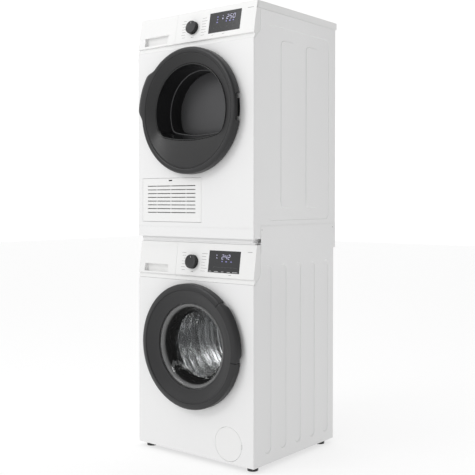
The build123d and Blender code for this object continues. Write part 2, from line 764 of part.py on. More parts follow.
# ------------------------------------------------------------------ stacking kit
RAIL_OUT = 299.5
RAIL_Z = (812.0, 911.0)
RAIL_Y = (-217.0, 289.0)
KIT_SCREWS = [(y, 897.0) for y in (-212.0, 270.0)]
plate = block(-288.7, 288.7, -243, 276, 843, KIT_TOP) - block(-250, 250, -233, 266, 842, 848)
save("stacking_plate", plate)
rail = block(HALF_WIDTH + 0.1, RAIL_OUT, *RAIL_Y, *RAIL_Z)
rail += block(289, HALF_WIDTH + 0.3, RAIL_Y[0], 276, WASHER_TOP + 1, KIT_TOP)
for y, z in KIT_SCREWS:
    rail -= along_x(2.6, 290, 310, y, z)
    head = along_x(2.5, HALF_WIDTH + 0.1, RAIL_OUT - 0.2, y, z)
    screws.append(head)
    screws.append(mirrored(head))
save("stacking_right_rail", rail)
save("stacking_left_rail", mirrored(rail))


# ------------------------------------------------------------------ dryer shell
base = tray(-285, 285, -249, 285, KIT_TOP, 920, WALL)
save("dryer_base_tray", base)

rear = block(-293, 293, DRYER_REAR - SHEET, DRYER_REAR, 925, LID_BOTTOM - SEAM)
rear += along_y(250, DRYER_REAR, DRYER_REAR + 7, 0, DRYER_DOOR_Z)
rear -= along_y(248, DRYER_REAR - 3, DRYER_REAR + 5, 0, DRYER_DOOR_Z)
rear = rear_screws(rear, DRYER_REAR, (-280, 280), (940, 1320, 1690))
save("dryer_rear_panel", rear)

lid = block(-HALF_WIDTH, HALF_WIDTH, FRONT + DRYER_LEAN + WALL + 0.5, LID_REAR, LID_BOTTOM, LID_TOP)
lid = fillet(lid.edges().group_by(Axis.Z)[-1].sort_by(Axis.Y)[1:], 3.0)
lid -= block(-294, 294, -230, 296, LID_BOTTOM - 1, LID_TOP - 4)
save("dryer_lid", lid)

panel = front_sheet(DRYER_BOTTOM - 1, DRYER_FRONT_TOP, DRYER_DOOR_Z, DRYER_OPENING, 1)
seam_ends = (-HALF_WIDTH - 1, HALF_WIDTH + 1)
panel -= block(*seam_ends, FRONT - 1, FRONT + 0.9, PLINTH_SEAM - 0.4, PLINTH_SEAM + 0.4)
panel -= block(FLAP_X[0] - 1, FLAP_X[1] + 1, FRONT - 1, FRONT + 4, FLAP_Z[0] - 1, FLAP_Z[1] + 1)
save("dryer_front_panel", panel)

SLOT_ROWS = 8
SLOT_PITCH = 15.0
SLOT_TOP = 1063.5
SLOT_HEIGHT = 3.2
SLOT_SPANS = ((-245, -195), (-193, -119), (-116, -37.5), (-35.5, 13))
flap = block(*FLAP_X, FRONT, FRONT + 2.4, *FLAP_Z)
flap = fillet(flap.edges().filter_by(Axis.X).group_by(Axis.Z)[0], 1.19)
for row in range(SLOT_ROWS):
    z = SLOT_TOP - row * SLOT_PITCH
    for x0, x1 in SLOT_SPANS:
        flap -= block(x0, x1, FRONT - 1, FRONT + 4, z - SLOT_HEIGHT / 2, z + SLOT_HEIGHT / 2)
flap -= block(-129, -110, FRONT - 1, FRONT + 4, 1082.5, 1087.5)
save("dryer_service_flap", flap)

exchanger = block(-262, 28, -235, 12, 926, 1052)
for fin in range(12):
    x = -250 + fin * 24
    exchanger -= block(x, x + 16, -236, 7, 940, 1040)
save("dryer_heat_exchanger", exchanger)


# ------------------------------------------------------------------ dryer inside
R = DRYER_DRUM_RADIUS
drum = turned(
    [
        (211, DRYER_DRUM_FRONT),
        (R, DRYER_DRUM_FRONT + 8),
        (R, DRYER_DRUM_REAR),
        (14, DRYER_DRUM_REAR),
        (14, DRYER_DRUM_REAR + 24),
        (0, DRYER_DRUM_REAR + 24),
        (0, DRYER_DRUM_REAR - 2),
        (R - 2, DRYER_DRUM_REAR - 2),
        (R - 2, DRYER_DRUM_FRONT + 10),
        (211, DRYER_DRUM_FRONT + 2),
    ],
    DRYER_DOOR_Z,
)
save("dryer_drum", drum)
save("dryer_drum_lifters", *lifters(R - 2.05, -165, 235, 60, 26, DRYER_DOOR_Z))

save(
    "dryer_drum_belt",
    belt(R, DRYER_MOTOR_PULLEY_RADIUS, (0, DRYER_DOOR_Z), (DRYER_MOTOR_X, DRYER_MOTOR_Z), 20, 30),
)

motor = along_y(50, 60, 190, DRYER_MOTOR_X, DRYER_MOTOR_Z)
motor -= along_y(7.3, 59, 191, DRYER_MOTOR_X, DRYER_MOTOR_Z)
motor += block(DRYER_MOTOR_X - 45, DRYER_MOTOR_X + 45, 80, 170, 854, DRYER_MOTOR_Z - 46)
save("dryer_motor", motor)
rotor = along_y(7, 10, 230, DRYER_MOTOR_X, DRYER_MOTOR_Z)
rotor += along_y(DRYER_MOTOR_PULLEY_RADIUS, 16, 34, DRYER_MOTOR_X, DRYER_MOTOR_Z)
FAN_BLADES = 12
for blade in range(FAN_BLADES):
    turn = Rot(0, 360 / FAN_BLADES * blade, 0)
    rotor += Pos(DRYER_MOTOR_X, 0, DRYER_MOTOR_Z) * turn * block(6, 48, 200, 228, -1, 1)
save("dryer_motor_rotor", rotor)

SHIELD_Y = (-234.0, -192.0)
glides = []
for angle in (235, 305):
    a = math.radians(angle)
    pad = along_y(222, *SHIELD_Y, 0, 0) - along_y(211, -240, -190, 0, 0)
    wedge = Rot(0, -angle, 0) * block(150, 250, *SHIELD_Y, -22, 22)
    glides.append(Pos(0, 0, DRYER_DOOR_Z) * (pad & wedge))
save("dryer_drum_glides", *glides)

filter_box = block(-92, 92, -252, -204, DRYER_DOOR_Z - 168, DRYER_DOOR_Z - 122)
filter_box -= block(-88, 88, -248, -208, DRYER_DOOR_Z - 164, DRYER_DOOR_Z - 121)
save("dryer_lint_filter", filter_box)

save("cabinet_screws", *screws)
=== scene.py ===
# %% [markdown]
# # A washing machine with a tumble dryer on top
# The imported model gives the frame: every panel, door, drawer and drum at its real size
# and place, with the joints they move on. This lesson gives those pieces their finishes,
# and models again the ones whose shape needs more than the frame's plain solids have.
# %% Load the frame
import json
import math

import bpy
from mathutils import Matrix, Vector


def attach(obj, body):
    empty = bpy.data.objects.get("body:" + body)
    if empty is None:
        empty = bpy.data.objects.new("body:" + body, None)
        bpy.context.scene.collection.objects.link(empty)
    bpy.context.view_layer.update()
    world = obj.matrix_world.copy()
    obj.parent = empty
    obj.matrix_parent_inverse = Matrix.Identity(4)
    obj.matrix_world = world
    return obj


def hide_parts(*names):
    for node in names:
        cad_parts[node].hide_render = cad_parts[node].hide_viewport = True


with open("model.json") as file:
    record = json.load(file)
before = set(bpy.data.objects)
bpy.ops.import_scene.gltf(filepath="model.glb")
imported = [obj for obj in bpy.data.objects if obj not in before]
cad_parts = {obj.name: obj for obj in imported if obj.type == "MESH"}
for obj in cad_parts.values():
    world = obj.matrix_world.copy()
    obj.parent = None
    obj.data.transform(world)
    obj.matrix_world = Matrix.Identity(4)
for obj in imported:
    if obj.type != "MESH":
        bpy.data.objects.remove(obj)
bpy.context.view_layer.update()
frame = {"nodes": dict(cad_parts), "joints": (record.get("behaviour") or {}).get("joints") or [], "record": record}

nodes = frame["nodes"]
joints = {joint["name"]: joint for joint in frame["joints"]}

# %% [markdown]
# ## Camera
# The stack is seen from its right-hand front corner, from a little above half its height.
# The camera is tilted down by barely more than a degree and its lens is shifted down a
# little for the rest, so the upright edges stay nearly parallel. It could be aimed by a
# constraint, but plain angles are easier to read and give the same view each time.
# %% Camera
camera_data = bpy.data.cameras.new("studio_camera")
camera = bpy.data.objects.new("studio_camera", camera_data)
bpy.context.scene.collection.objects.link(camera)
camera.location = (2.1616, -2.6608, 1.0055)
camera.rotation_euler = (math.radians(90 - 1.229), 0, math.radians(38.936))
camera_data.lens = 63.19
camera_data.shift_y = -0.04
bpy.context.scene.camera = camera

# %% [markdown]
# ## Floor
# White goods are shown on a white sweep, so that their pale edges stay readable and no
# hard shadow falls. The floor is one large plane that glows a little: it stays white as
# far as one sees, without a lamp over every part of it.
# %% Floor
FLOOR_SIZE = 30.0
bpy.ops.mesh.primitive_plane_add(size=FLOOR_SIZE, location=(0, 0, 0))
floor = bpy.context.object
floor.name = "studio_floor"
floor_paint = bpy.data.materials.new("studio_floor_paint")
floor_paint.use_nodes = True
paint = floor_paint.node_tree.nodes["Principled BSDF"]
paint.inputs["Base Color"].default_value = (0.3, 0.3, 0.3, 1)
paint.inputs["Emission Strength"].default_value = 0.7
paint.inputs["Emission Color"].default_value = (1, 1, 1, 1)
paint.inputs["Roughness"].default_value = 0.9
floor.data.materials.append(floor_paint)
print("floor:", FLOOR_SIZE, "metres wide")

# %% [markdown]
# ## Sky
# The sky is white overhead and behind, darker towards the right and a little darker in
# front, which keeps the side panels greyer than the front and gives the dark rings
# something to reflect. A picture of a studio would do this too; two ramps over the
# direction, multiplied, are shorter and can be tuned.
# %% Sky
SKY_RIGHT = 0.3
SKY_FRONT = 0.84
world = bpy.data.worlds.new("studio_sky")
bpy.context.scene.world = world
world.use_nodes = True
sky = world.node_tree
direction = sky.nodes.new("ShaderNodeTexCoord")


def sky_ramp(towards, start, end, low, high):
    """A brightness that changes from low to high as a direction turns towards another."""
    turn = sky.nodes.new("ShaderNodeVectorMath")
    turn.operation = "DOT_PRODUCT"
    turn.inputs[1].default_value = towards
    sky.links.new(direction.outputs["Generated"], turn.inputs[0])
    ramp = sky.nodes.new("ShaderNodeMapRange")
    for name, value in (("From Min", start), ("From Max", end), ("To Min", low), ("To Max", high)):
        ramp.inputs[name].default_value = value
    sky.links.new(turn.outputs["Value"], ramp.inputs["Value"])
    return ramp.outputs["Result"]


dim_right = sky_ramp((0.97, 0.24, 0.0), -0.2, 0.8, 1.05, SKY_RIGHT)
bright_front = sky_ramp((-0.35, -0.8, 0.45), -0.1, 0.8, 1.0, SKY_FRONT)
product = sky.nodes.new("ShaderNodeMath")
product.operation = "MULTIPLY"
sky.links.new(dim_right, product.inputs[0])
sky.links.new(bright_front, product.inputs[1])
sky.links.new(product.outputs["Value"], sky.nodes["Background"].inputs["Strength"])
sky.nodes["Background"].inputs["Color"].default_value = (1, 1, 1, 1)
bpy.context.scene.view_settings.view_transform = "Standard"
print("sky:", SKY_RIGHT, "towards the right,", SKY_FRONT, "towards the front")

# %% [markdown]
# ## Soft boxes
# Three area lights add shape to the sky's even light: one overhead, one high in front on
# the left, and a slim one behind on the right. A fourth, small and hidden from the
# camera, stands inside the washer's drum, in place of the light that the polished steel
# gathers through the glass.
# %% Soft boxes
LAMP_PLACE = (0.02, -0.168, 0.575)


def soft_box(name, place, target, size, power):
    """An area light at a place, turned to face a target."""
    data = bpy.data.lights.new(name, "AREA")
    data.shape = "RECTANGLE"
    data.size, data.size_y = size
    data.energy = power
    light = bpy.data.objects.new(name, data)
    bpy.context.scene.collection.objects.link(light)
    light.location = place
    light.rotation_euler = (Vector(target) - Vector(place)).to_track_quat("-Z", "Y").to_euler()
    return light


soft_box("overhead_soft_box", (-0.6, -1.2, 4.5), (0, 0, 0.9), (3.0, 3.0), 15)
soft_box("upper_front_soft_box", (-1.3, -3.2, 3.1), (0, -0.26, 1.6), (1.6, 1.2), 30)
soft_box("rear_side_soft_box", (1.9, 1.9, 1.6), (0.3, 0.1, 0.8), (0.6, 2.2), 7)
drum_lamp = soft_box("drum_lamp", LAMP_PLACE, (-0.22, 0.0, 0.38), (0.16, 0.05), 0.42)
drum_lamp.visible_camera = False
print("lights:", len(bpy.data.lights))

# %% [markdown]
# ## Arithmetic on shader values
# A finish is a small calculation: noise, scaled, clamped, mixed. Written as nodes and links
# that is long to read, so one small class wraps a socket and lets it be added, subtracted,
# multiplied or divided like a number. Each operation adds one Math node.
# %% Shader arithmetic
class Value:
    """A shader socket that takes part in ordinary arithmetic."""

    def __init__(self, finish, socket):
        self.finish = finish
        self.socket = socket

    def maths(self, operation, *terms):
        inputs = dict(enumerate(terms))
        return self.finish.node("ShaderNodeMath", {"operation": operation}, inputs)

    def __add__(self, other):
        return self.maths("ADD", self, other)

    def __sub__(self, other):
        return self.maths("SUBTRACT", self, other)

    def __rsub__(self, other):
        return self.maths("SUBTRACT", other, self)

    def __mul__(self, other):
        return self.maths("MULTIPLY", self, other)

    def __truediv__(self, other):
        return self.maths("DIVIDE", self, other)

    __radd__ = __add__
    __rmul__ = __mul__

    def clamped(self):
        return self.maths("MINIMUM", self.maths("MAXIMUM", self, 0.0), 1.0)

    def above(self, limit, softness=0.02):
        """0 below a limit and 1 above it, with a soft step between."""
        return ((self - limit) / softness + 0.5).clamped()


print("values: + - * / and above")

# %% [markdown]
# ## Building a finish
# Every finish starts from the place on the object, so that its grain stays fixed to the
# piece and has a real size in metres. One class adds nodes by name and holds the patterns
# that nearly all finishes use: noise, cells, a blend of two colours and a bump.
# %% Building a finish
class Finish:
    """One material, built node by node from the object's own coordinates."""

    def __init__(self, name):
        self.material = bpy.data.materials.new(name)
        self.material.use_nodes = True
        self.tree = self.material.node_tree
        self.tree.nodes.clear()
        self.place = self.node("ShaderNodeTexCoord", output="Object")

    def node(self, kind, settings=None, inputs=None, output=0):
        """Adds a node: its settings first, then its inputs, each a number or a Value."""
        made = self.tree.nodes.new(kind)
        for name, value in (settings or {}).items():
            setattr(made, name, value)
        for name, value in (inputs or {}).items():
            if isinstance(value, Value):
                self.tree.links.new(value.socket, made.inputs[name])
            else:
                made.inputs[name].default_value = value
        return Value(self, made.outputs[output])

    def noise(self, scale, detail=2.0, stretch=(1, 1, 1), roughness=0.5):
        place = self.node("ShaderNodeMapping", {}, {"Vector": self.place, "Scale": stretch})
        inputs = {"Vector": place, "Scale": scale, "Detail": detail, "Roughness": roughness}
        return self.node("ShaderNodeTexNoise", {}, inputs)

    def cells(self, scale, output="Distance"):
        return self.node("ShaderNodeTexVoronoi", {}, {"Vector": self.place, "Scale": scale}, output)

    def blend(self, share, first, second):
        """A colour between two others; share 0 gives the first."""
        inputs = {0: share, 6: colour(first), 7: colour(second)}
        return self.node("ShaderNodeMix", {"data_type": "RGBA"}, inputs, 2)

    def bump(self, height, distance, strength=1.0):
        inputs = {"Height": height, "Distance": distance, "Strength": strength}
        return self.node("ShaderNodeBump", {}, inputs)

    def surface(self, **inputs):
        """The Principled shader; names are written with _ for a space."""
        named = {name.replace("_", " "): colour(value) for name, value in inputs.items()}
        return self.node("ShaderNodeBsdfPrincipled", {}, named)

    def finish(self, shader):
        made = self.tree.nodes.new("ShaderNodeOutputMaterial")
        self.tree.links.new(shader.socket, made.inputs["Surface"])
        return self.material


def colour(value):
    """A three-number colour gets the alpha a socket wants; anything else stays as it is."""
    if isinstance(value, tuple) and len(value) == 3:
        return (*value, 1.0)
    return value


def grey(level):
    return (level, level, level)


finishes = {}
print("patterns: noise, cells, blend and bump")

# %% [markdown]
# ## Painted sheet
# The cabinets are baked enamel on pressed steel. At arm's length it is even; close up it
# has a faint orange peel, about a millimetre across, that breaks up reflections. The peel
# is a bump, and the colour drifts by a hundredth so large panels aren't dead flat.
# %% White paint
def white_paint():
    paint = Finish("white_paint")
    drift = paint.noise(2.5, 3)
    peel = paint.noise(700, 2)
    tone = paint.blend(drift, (0.83, 0.83, 0.832), (0.86, 0.86, 0.858))
    return paint.finish(paint.surface(
        Base_Color=tone,
        Roughness=0.3 + 0.08 * paint.noise(9, 3),
        Coat_Weight=0.25,
        Coat_Roughness=0.18,
        Normal=paint.bump(peel, 0.00006, 0.35),
    ))


finishes["white_paint"] = white_paint()
print("white paint ready")

# %% [markdown]
# ## Moulded white plastic
# Fascias, drawers, lid and flap are moulded. The tool is spark-eroded, which leaves a fine
# even grain. It is duller than the paint and a hair warmer, so the joints between the two
# can be read even where both are white.
# %% White plastic
def white_plastic():
    plastic = Finish("white_plastic")
    grain = plastic.noise(2600, 3, roughness=0.7)
    drift = plastic.noise(4, 2)
    return plastic.finish(plastic.surface(
        Base_Color=plastic.blend(drift, (0.84, 0.84, 0.835), (0.865, 0.865, 0.86)),
        Roughness=0.4 + 0.12 * grain,
        Specular_IOR_Level=0.45,
        Normal=plastic.bump(grain, 0.00003, 0.5),
    ))


finishes["white_plastic"] = white_plastic()
print("white plastic ready")

# %% [markdown]
# ## Anthracite and black plastic
# The door rings are satin anthracite, the parts behind them a glossier black. All get the
# grain of a mould; a slow drift in roughness stands for the wipe marks such dark plastic
# always shows. One function serves all, with its numbers changed: darkest and palest
# colour, roughness, depth of grain and, for the polished one, a coat.
# %% Dark plastics
def dark_plastic(name, low, high, roughness, grain_depth, coat=0.0):
    plastic = Finish(name)
    grain = plastic.noise(2200, 3, roughness=0.65)
    wipes = plastic.noise(14, 4, stretch=(1, 1, 0.35))
    return plastic.finish(plastic.surface(
        Base_Color=plastic.blend(wipes, low, high),
        Roughness=roughness + 0.14 * (wipes - 0.5) + 0.06 * grain,
        Specular_IOR_Level=0.38,
        Coat_Weight=coat,
        Coat_Roughness=0.12,
        Normal=plastic.bump(grain, 0.00004, grain_depth),
    ))


DARK_PLASTICS = {
    "dark_plastic": ((0.02, 0.02, 0.021), (0.026, 0.026, 0.027), 0.34, 0.6),
    "black_plastic": ((0.006, 0.006, 0.0065), (0.01, 0.01, 0.0105), 0.2, 0.15, 0.5),
    "funnel_plastic": ((0.014, 0.014, 0.0145), (0.018, 0.018, 0.0188), 0.34, 0.4),
    "knob_plastic": ((0.026, 0.026, 0.027), (0.034, 0.034, 0.036), 0.35, 0.5),
    # pale grey for the dryer bowl's end disc and step lip: partly the plastic's own tone, partly painted
    # reflection
    "disc_plastic": ((0.075, 0.075, 0.078), (0.09, 0.09, 0.093), 0.45, 0.5),
    "hinge_black": ((0.012, 0.012, 0.0125), (0.02, 0.02, 0.021), 0.4, 0.8),
}
for name, numbers in DARK_PLASTICS.items():
    finishes[name] = dark_plastic(name, *numbers)
print("dark plastics:", len(DARK_PLASTICS))

# %% [markdown]
# ## Grey plastic, rubber and painted castings
# Parts that are seldom looked at still show their material: grey moulded trays, the soft
# matt rubber of the gasket with its bloom, the belts, and the painted motor cases. All are
# patches with a finer grain over them, so one function makes them, with their numbers.
# %% Grey plastic, rubber, castings
def matt(name, low, high, scale, roughness, depth, distance, sheen=0.0):
    stuff = Finish(name)
    patches = stuff.noise(scale, 4)
    fine = stuff.noise(scale * 14, 3, roughness=0.7)
    return stuff.finish(stuff.surface(
        Base_Color=stuff.blend(patches, low, high),
        Roughness=roughness + 0.1 * (fine - 0.5),
        Sheen_Weight=sheen,
        Normal=stuff.bump(patches + 0.4 * fine, distance, depth),
    ))


MATT_STUFFS = {
    "grey_plastic": (grey(0.42), grey(0.5), 60, 0.45, 0.3, 0.00005),
    "frame_grey": (grey(0.16), grey(0.2), 50, 0.4, 0.3, 0.00005),
    "grey_rubber": ((0.17, 0.172, 0.175), (0.23, 0.232, 0.235), 45, 0.55, 0.3, 0.0001, 0.15),
    "black_rubber": (grey(0.012), grey(0.022), 80, 0.7, 0.4, 0.0001, 0.1),
    "motor_metal": (grey(0.16), grey(0.24), 30, 0.5, 0.4, 0.0002),
}
for name, numbers in MATT_STUFFS.items():
    finishes[name] = matt(name, *numbers)
print("matt finishes:", len(MATT_STUFFS))

# %% [markdown]
# ## Concrete
# The counterweights are cast concrete: sandy, with air holes a few millimetres wide where
# it met the mould. The sand is noise, and the holes are the middles of Voronoi cells, sunk
# by the bump and painted darker than the sand as painted shade in their pits.
# %% Concrete
def concrete():
    cast = Finish("weight_concrete")
    sand = cast.noise(180, 5, roughness=0.7)
    holes = cast.cells(95).above(0.2, 0.1)
    stone = cast.blend(sand, grey(0.24), grey(0.42))
    return cast.finish(cast.surface(
        # the holes' dark grey is painted shade in the pits
        Base_Color=cast.blend(holes, grey(0.12), stone),
        Roughness=0.95,
        Normal=cast.bump(sand * 0.5 + holes, 0.0008, 0.6),
    ))


finishes["weight_concrete"] = concrete()
print("concrete ready")

# %% [markdown]
# ## Metals
# The drums are rolled stainless steel, brushed round their circumference, so their noise
# is stretched long one way and fine the other; the knobs' dark knurled bands are the same
# with no stretch. The rear panels are hot-dipped zinc, whose spangle is a mosaic of
# crystals with slightly different brightness: Voronoi cells.
# %% Metals
def brushed(name, level, roughness, stretch, depth):
    steel = Finish(name)
    lines = steel.noise(900, 3, stretch, 0.65)
    broad = steel.noise(7, 2)
    return steel.finish(steel.surface(
        Base_Color=steel.blend(broad, grey(level * 0.94), grey(level)),
        Metallic=1.0,
        Roughness=roughness + 0.12 * (lines - 0.5) + 0.08 * (broad - 0.5),
        Normal=steel.bump(lines, 0.00003, depth),
    ))


def zinc(name, low, high, scale, roughness):
    sheet = Finish(name)
    crystal = sheet.node(
        "ShaderNodeSeparateColor", {}, {"Color": sheet.cells(scale, "Color")}, 0
    )
    frost = sheet.noise(scale * 6, 3)
    return sheet.finish(sheet.surface(
        Base_Color=sheet.blend(crystal, low, high),
        Metallic=1.0,
        Roughness=roughness + 0.16 * (crystal - 0.5) + 0.06 * frost,
        Normal=sheet.bump(crystal * 0.3 + frost, 0.00004, 0.4),
    ))


finishes["stainless_steel"] = brushed("stainless_steel", 0.72, 0.24, (0.04, 1, 0.04), 0.5)
finishes["galvanised_steel"] = zinc("galvanised_steel", grey(0.52), grey(0.64), 55, 0.42)
finishes["hinge_metal"] = zinc("hinge_metal", grey(0.45), grey(0.5), 400, 0.38)
finishes["knurl_metal"] = brushed("knurl_metal", 0.09, 0.22, (1, 1, 1), 0.2)
print("metals ready")

# %% [markdown]
# ## Door glass
# The washer's door is thick pressed glass. A refracting shader would be exact but slow and
# dark, so a thin-glass mix is used: clear when looked through, mirror-like at a grazing
# angle, with a light smoke tint. Two things that thick glass does to light are painted in,
# by distance from the bowl's middle line: a pale grey painted glow on its rolled edge, and
# painted shade on its side wall, which looked along looks dark.
# %% Door glass
WASHER_AXIS = joints["washer_drum_spin"]["pos_m"][2]
# radii where the painted shade of the side wall starts, and where the painted glow of the rolled edge starts and
# ends
WALL_START, EDGE_START, EDGE_END = 0.1395, 0.1505, 0.163


def distance_from(glass, height):
    """Distance of the surface from the line along Y at this height."""
    moved = {"Vector": glass.place, "Location": (0, 0, -height)}
    middle = glass.node("ShaderNodeMapping", {}, moved)
    flat = glass.node("ShaderNodeVectorMath", {"operation": "MULTIPLY"}, {0: middle, 1: (1, 0, 1)})
    return glass.node("ShaderNodeVectorMath", {"operation": "LENGTH"}, {0: flat}, "Value")


def door_glass():
    glass = Finish("door_glass")
    facing = glass.node("ShaderNodeLayerWeight", {}, {"Blend": 0.28}, "Fresnel")
    ripple = glass.noise(18, 2)
    clear = glass.node("ShaderNodeBsdfTransparent", {}, {"Color": (0.93, 0.94, 0.945, 1)})
    radius = distance_from(glass, WASHER_AXIS)
    beyond_wall = radius.above(EDGE_START, 0.003)
    # painted glow: a pale band over the rolled edge
    painted_edge_glow = beyond_wall * (1.0 - radius.above(EDGE_END, 0.006))
    # painted shade: a dark band over the side wall
    wall = radius.above(WALL_START, 0.002) * (1.0 - beyond_wall)
    shine = glass.surface(
        # the shine is pale grey over the painted glow and near black elsewhere
        Base_Color=glass.blend(painted_edge_glow, grey(0.02), grey(0.3)),
        Roughness=0.04,
        Normal=glass.bump(ripple, 0.0004, 0.3),
    )
    # more shine, and less see-through, over the painted glow and the painted shade
    share = (facing * 0.8 + 0.05 + painted_edge_glow * 0.4 + wall * 0.7).clamped()
    return glass.finish(glass.node("ShaderNodeMixShader", {}, {0: share, 1: clear, 2: shine}))


finishes["door_glass"] = door_glass()
print("door glass ready")

# %% [markdown]
# ## Display window
# The displays are smoked windows: nearly black, very smooth, with a deeper tone showing
# through and the faint smears that fingers leave. The smears go into the roughness.
# %% Display window
def display_glass():
    glass = Finish("display_glass")
    depth = glass.noise(6, 2)
    smear = glass.noise(30, 3)
    return glass.finish(glass.surface(
        Base_Color=glass.blend(depth, (0.010, 0.0104, 0.012), (0.014, 0.0146, 0.017)),
        Roughness=0.16 + 0.06 * smear,
        Coat_Weight=0.4,
        Coat_Roughness=0.05,
        Normal=glass.bump(smear, 0.0001, 0.05),
    ))


finishes["display_glass"] = display_glass()
print("display window ready")

# %% [markdown]
# ## Inks and lit segments
# The prints are screen printed, so their ink is a little uneven. The digits and signs are
# lit from behind: the same ink, made to glow in a bluish white, the signs more dimly.
# %% Inks and lit segments
def printed(name, low, high):
    ink = Finish(name)
    film = ink.noise(600, 3)
    tone = ink.blend(film, low, high)
    return ink.finish(ink.surface(Base_Color=tone, Roughness=0.5 + 0.1 * film))


def lit(name, low, high, glow):
    light = Finish(name)
    tone = light.blend(light.noise(600, 3), low, high)
    return light.finish(light.surface(
        Base_Color=tone,
        Emission_Color=tone,
        Emission_Strength=glow,
        Roughness=0.4,
    ))


finishes["grey_print"] = printed("grey_print", grey(0.16), grey(0.22))
finishes["white_print"] = printed("white_print", grey(0.62), grey(0.7))
finishes["dim_print"] = printed("dim_print", grey(0.12), grey(0.16))
finishes["lit_segments"] = lit("lit_segments", (0.52, 0.5, 0.7), (0.6, 0.58, 0.78), 0.7)
finishes["lit_signs"] = lit("lit_signs", (0.16, 0.15, 0.36), (0.2, 0.19, 0.42), 0.6)
print("finishes:", len(finishes))

# %% [markdown]
# ## Finishes on the frame's pieces
# Each piece of the frame has a material slot in the record. The slot's finish goes on the
# piece, whether the piece is shown as it is or modelled again below. Four pieces differ a
# little from the rest of their slot, and get a finish of their own.
# %% Dress the frame
slot_of = {part["node"]: part["material_slot"] for part in frame["record"]["subparts"]}
special = {
    "washer_door_hinge": "hinge_black",
    "dryer_door_hinge": "hinge_black",
    "dryer_door_funnel": "funnel_plastic",
    "washer_door_inner_frame": "frame_grey",
}
for name, node in nodes.items():
    node.data.materials.clear()
    node.data.materials.append(finishes[special.get(name, slot_of[name])])
print("dressed", len(nodes), "pieces")

# %% [markdown]
# ## Editing and settling a mesh
# Each mesh is edited as one would by hand: select it, enter edit mode, run a few operators,
# leave. When its shape is done it is settled: doubles are merged, normals made to point
# outwards, and sharp edges softened by a small bevel where asked, because a moulded edge
# always has a radius that catches light.
# %% Editing and settling
def only(piece=None):
    """Selects one object and nothing else."""
    bpy.ops.object.select_all(action="DESELECT")
    if piece:
        piece.select_set(True)
        bpy.context.view_layer.objects.active = piece


def edit(piece, *steps):
    """Runs edit-mode steps on everything in the piece."""
    only(piece)
    bpy.ops.object.mode_set(mode="EDIT")
    bpy.ops.mesh.select_all(action="SELECT")
    for step in steps:
        step()
    bpy.ops.object.mode_set(mode="OBJECT")


def settle(piece, bevel=0.0, segments=2, angle=32, merge=0.00002):
    """Closes seams, turns normals outwards, bevels sharp edges and smooths the rest."""
    edit(
        piece,
        lambda: bpy.ops.mesh.remove_doubles(threshold=merge),
        lambda: bpy.ops.mesh.normals_make_consistent(inside=False),
    )
    if bevel:
        soft = piece.modifiers.new("soft_edges", "BEVEL")
        soft.width = bevel
        soft.segments = segments
        soft.limit_method = "ANGLE"
        soft.angle_limit = math.radians(angle)
        bpy.ops.object.modifier_apply(modifier=soft.name)
    bpy.ops.object.shade_smooth_by_angle(angle=math.radians(angle))
    return piece


print("helpers: only, edit, settle")

# %% [markdown]
# ## Turned pieces and skins
# Most of these pieces are turned: an outline spun about the door's or drum's middle line.
# The rest are skins: rings of points, one behind the other, with faces between them. Both
# start from a primitive whose corners are set along the outline, which keeps the shape in
# a few numbers that can be read.
# %% Turned pieces and skins
DRYER_AXIS = joints["dryer_drum_spin"]["pos_m"][2]


def turned(name, outline, height, steps=128):
    """Spins a closed outline of (radius, y) in millimetres about the line at this height."""
    only()
    bpy.ops.mesh.primitive_circle_add(vertices=len(outline), radius=0.01)
    piece = bpy.context.object
    piece.name = name
    for corner, (radius, y) in zip(piece.data.vertices, outline):
        corner.co = (radius / 1000, y / 1000, height)
    centre = (0, 0, height)
    edit(piece, lambda: bpy.ops.mesh.spin(steps=steps, angle=math.tau, center=centre, axis=(0, 1, 0)))
    return piece


def skin(name, rings):
    """A sheet with its rows laid along rings of points, in metres."""
    across, along = len(rings[0]) - 1, len(rings) - 1
    only()
    bpy.ops.mesh.primitive_grid_add(x_subdivisions=across, y_subdivisions=along, size=0.1)
    piece = bpy.context.object
    piece.name = name
    points = [point for ring in rings for point in ring]
    for corner, point in zip(piece.data.vertices, points):
        corner.co = point
    return piece


def around(radius, y, degrees, height):
    """A point in metres, from a radius and a Y in millimetres and an angle from +X."""
    angle = math.radians(degrees)
    return (radius * math.cos(angle) / 1000, y / 1000, height + radius * math.sin(angle) / 1000)


def eased(value):
    """0 to 1 with a soft start and a soft end."""
    value = min(max(value, 0.0), 1.0)
    return value * value * (3 - 2 * value)


print("helpers: turned, skin, around, eased")

# %% [markdown]
# ## Joining, cutting and placing
# A piece may be several meshes joined, and may have box-shaped openings cut by a boolean.
# Placing gives it its finish, its slot's unless another is named, hangs it on the body that
# carries it and hides the pieces of the frame it stands for.
# %% Joining, cutting, placing
def joined(name, pieces):
    """Several meshes as one piece."""
    only(pieces[0])
    for piece in pieces:
        piece.select_set(True)
    bpy.ops.object.join()
    bpy.context.object.name = name
    return bpy.context.object


def hollowed(piece, boxes):
    """Cuts boxes, given by two corners in metres, out of a closed piece."""
    for low, high in boxes:
        only()
        middle = [(a + b) / 2 for a, b in zip(low, high)]
        size = [b - a for a, b in zip(low, high)]
        bpy.ops.mesh.primitive_cube_add(size=1, location=middle, scale=size)
        cutter = bpy.context.object
        only(piece)
        cut = piece.modifiers.new("cut", "BOOLEAN")
        cut.object = cutter
        cut.operation = "DIFFERENCE"
        cut.solver = "EXACT"
        bpy.ops.object.modifier_apply(modifier=cut.name)
        bpy.data.objects.remove(cutter)
    return piece


def place(piece, body, slot, finish=None, replaces=()):
    """Gives a piece its finish, its slot's unless another is named, hangs it on its body and hides the frame
    pieces it stands for.
    """
    piece.data.materials.clear()
    piece.data.materials.append(finishes[finish or slot])
    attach(piece, body)
    if replaces:
        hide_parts(*replaces)
    print(piece.name, len(piece.data.polygons), "faces")


print("helpers: joined, hollowed, place")

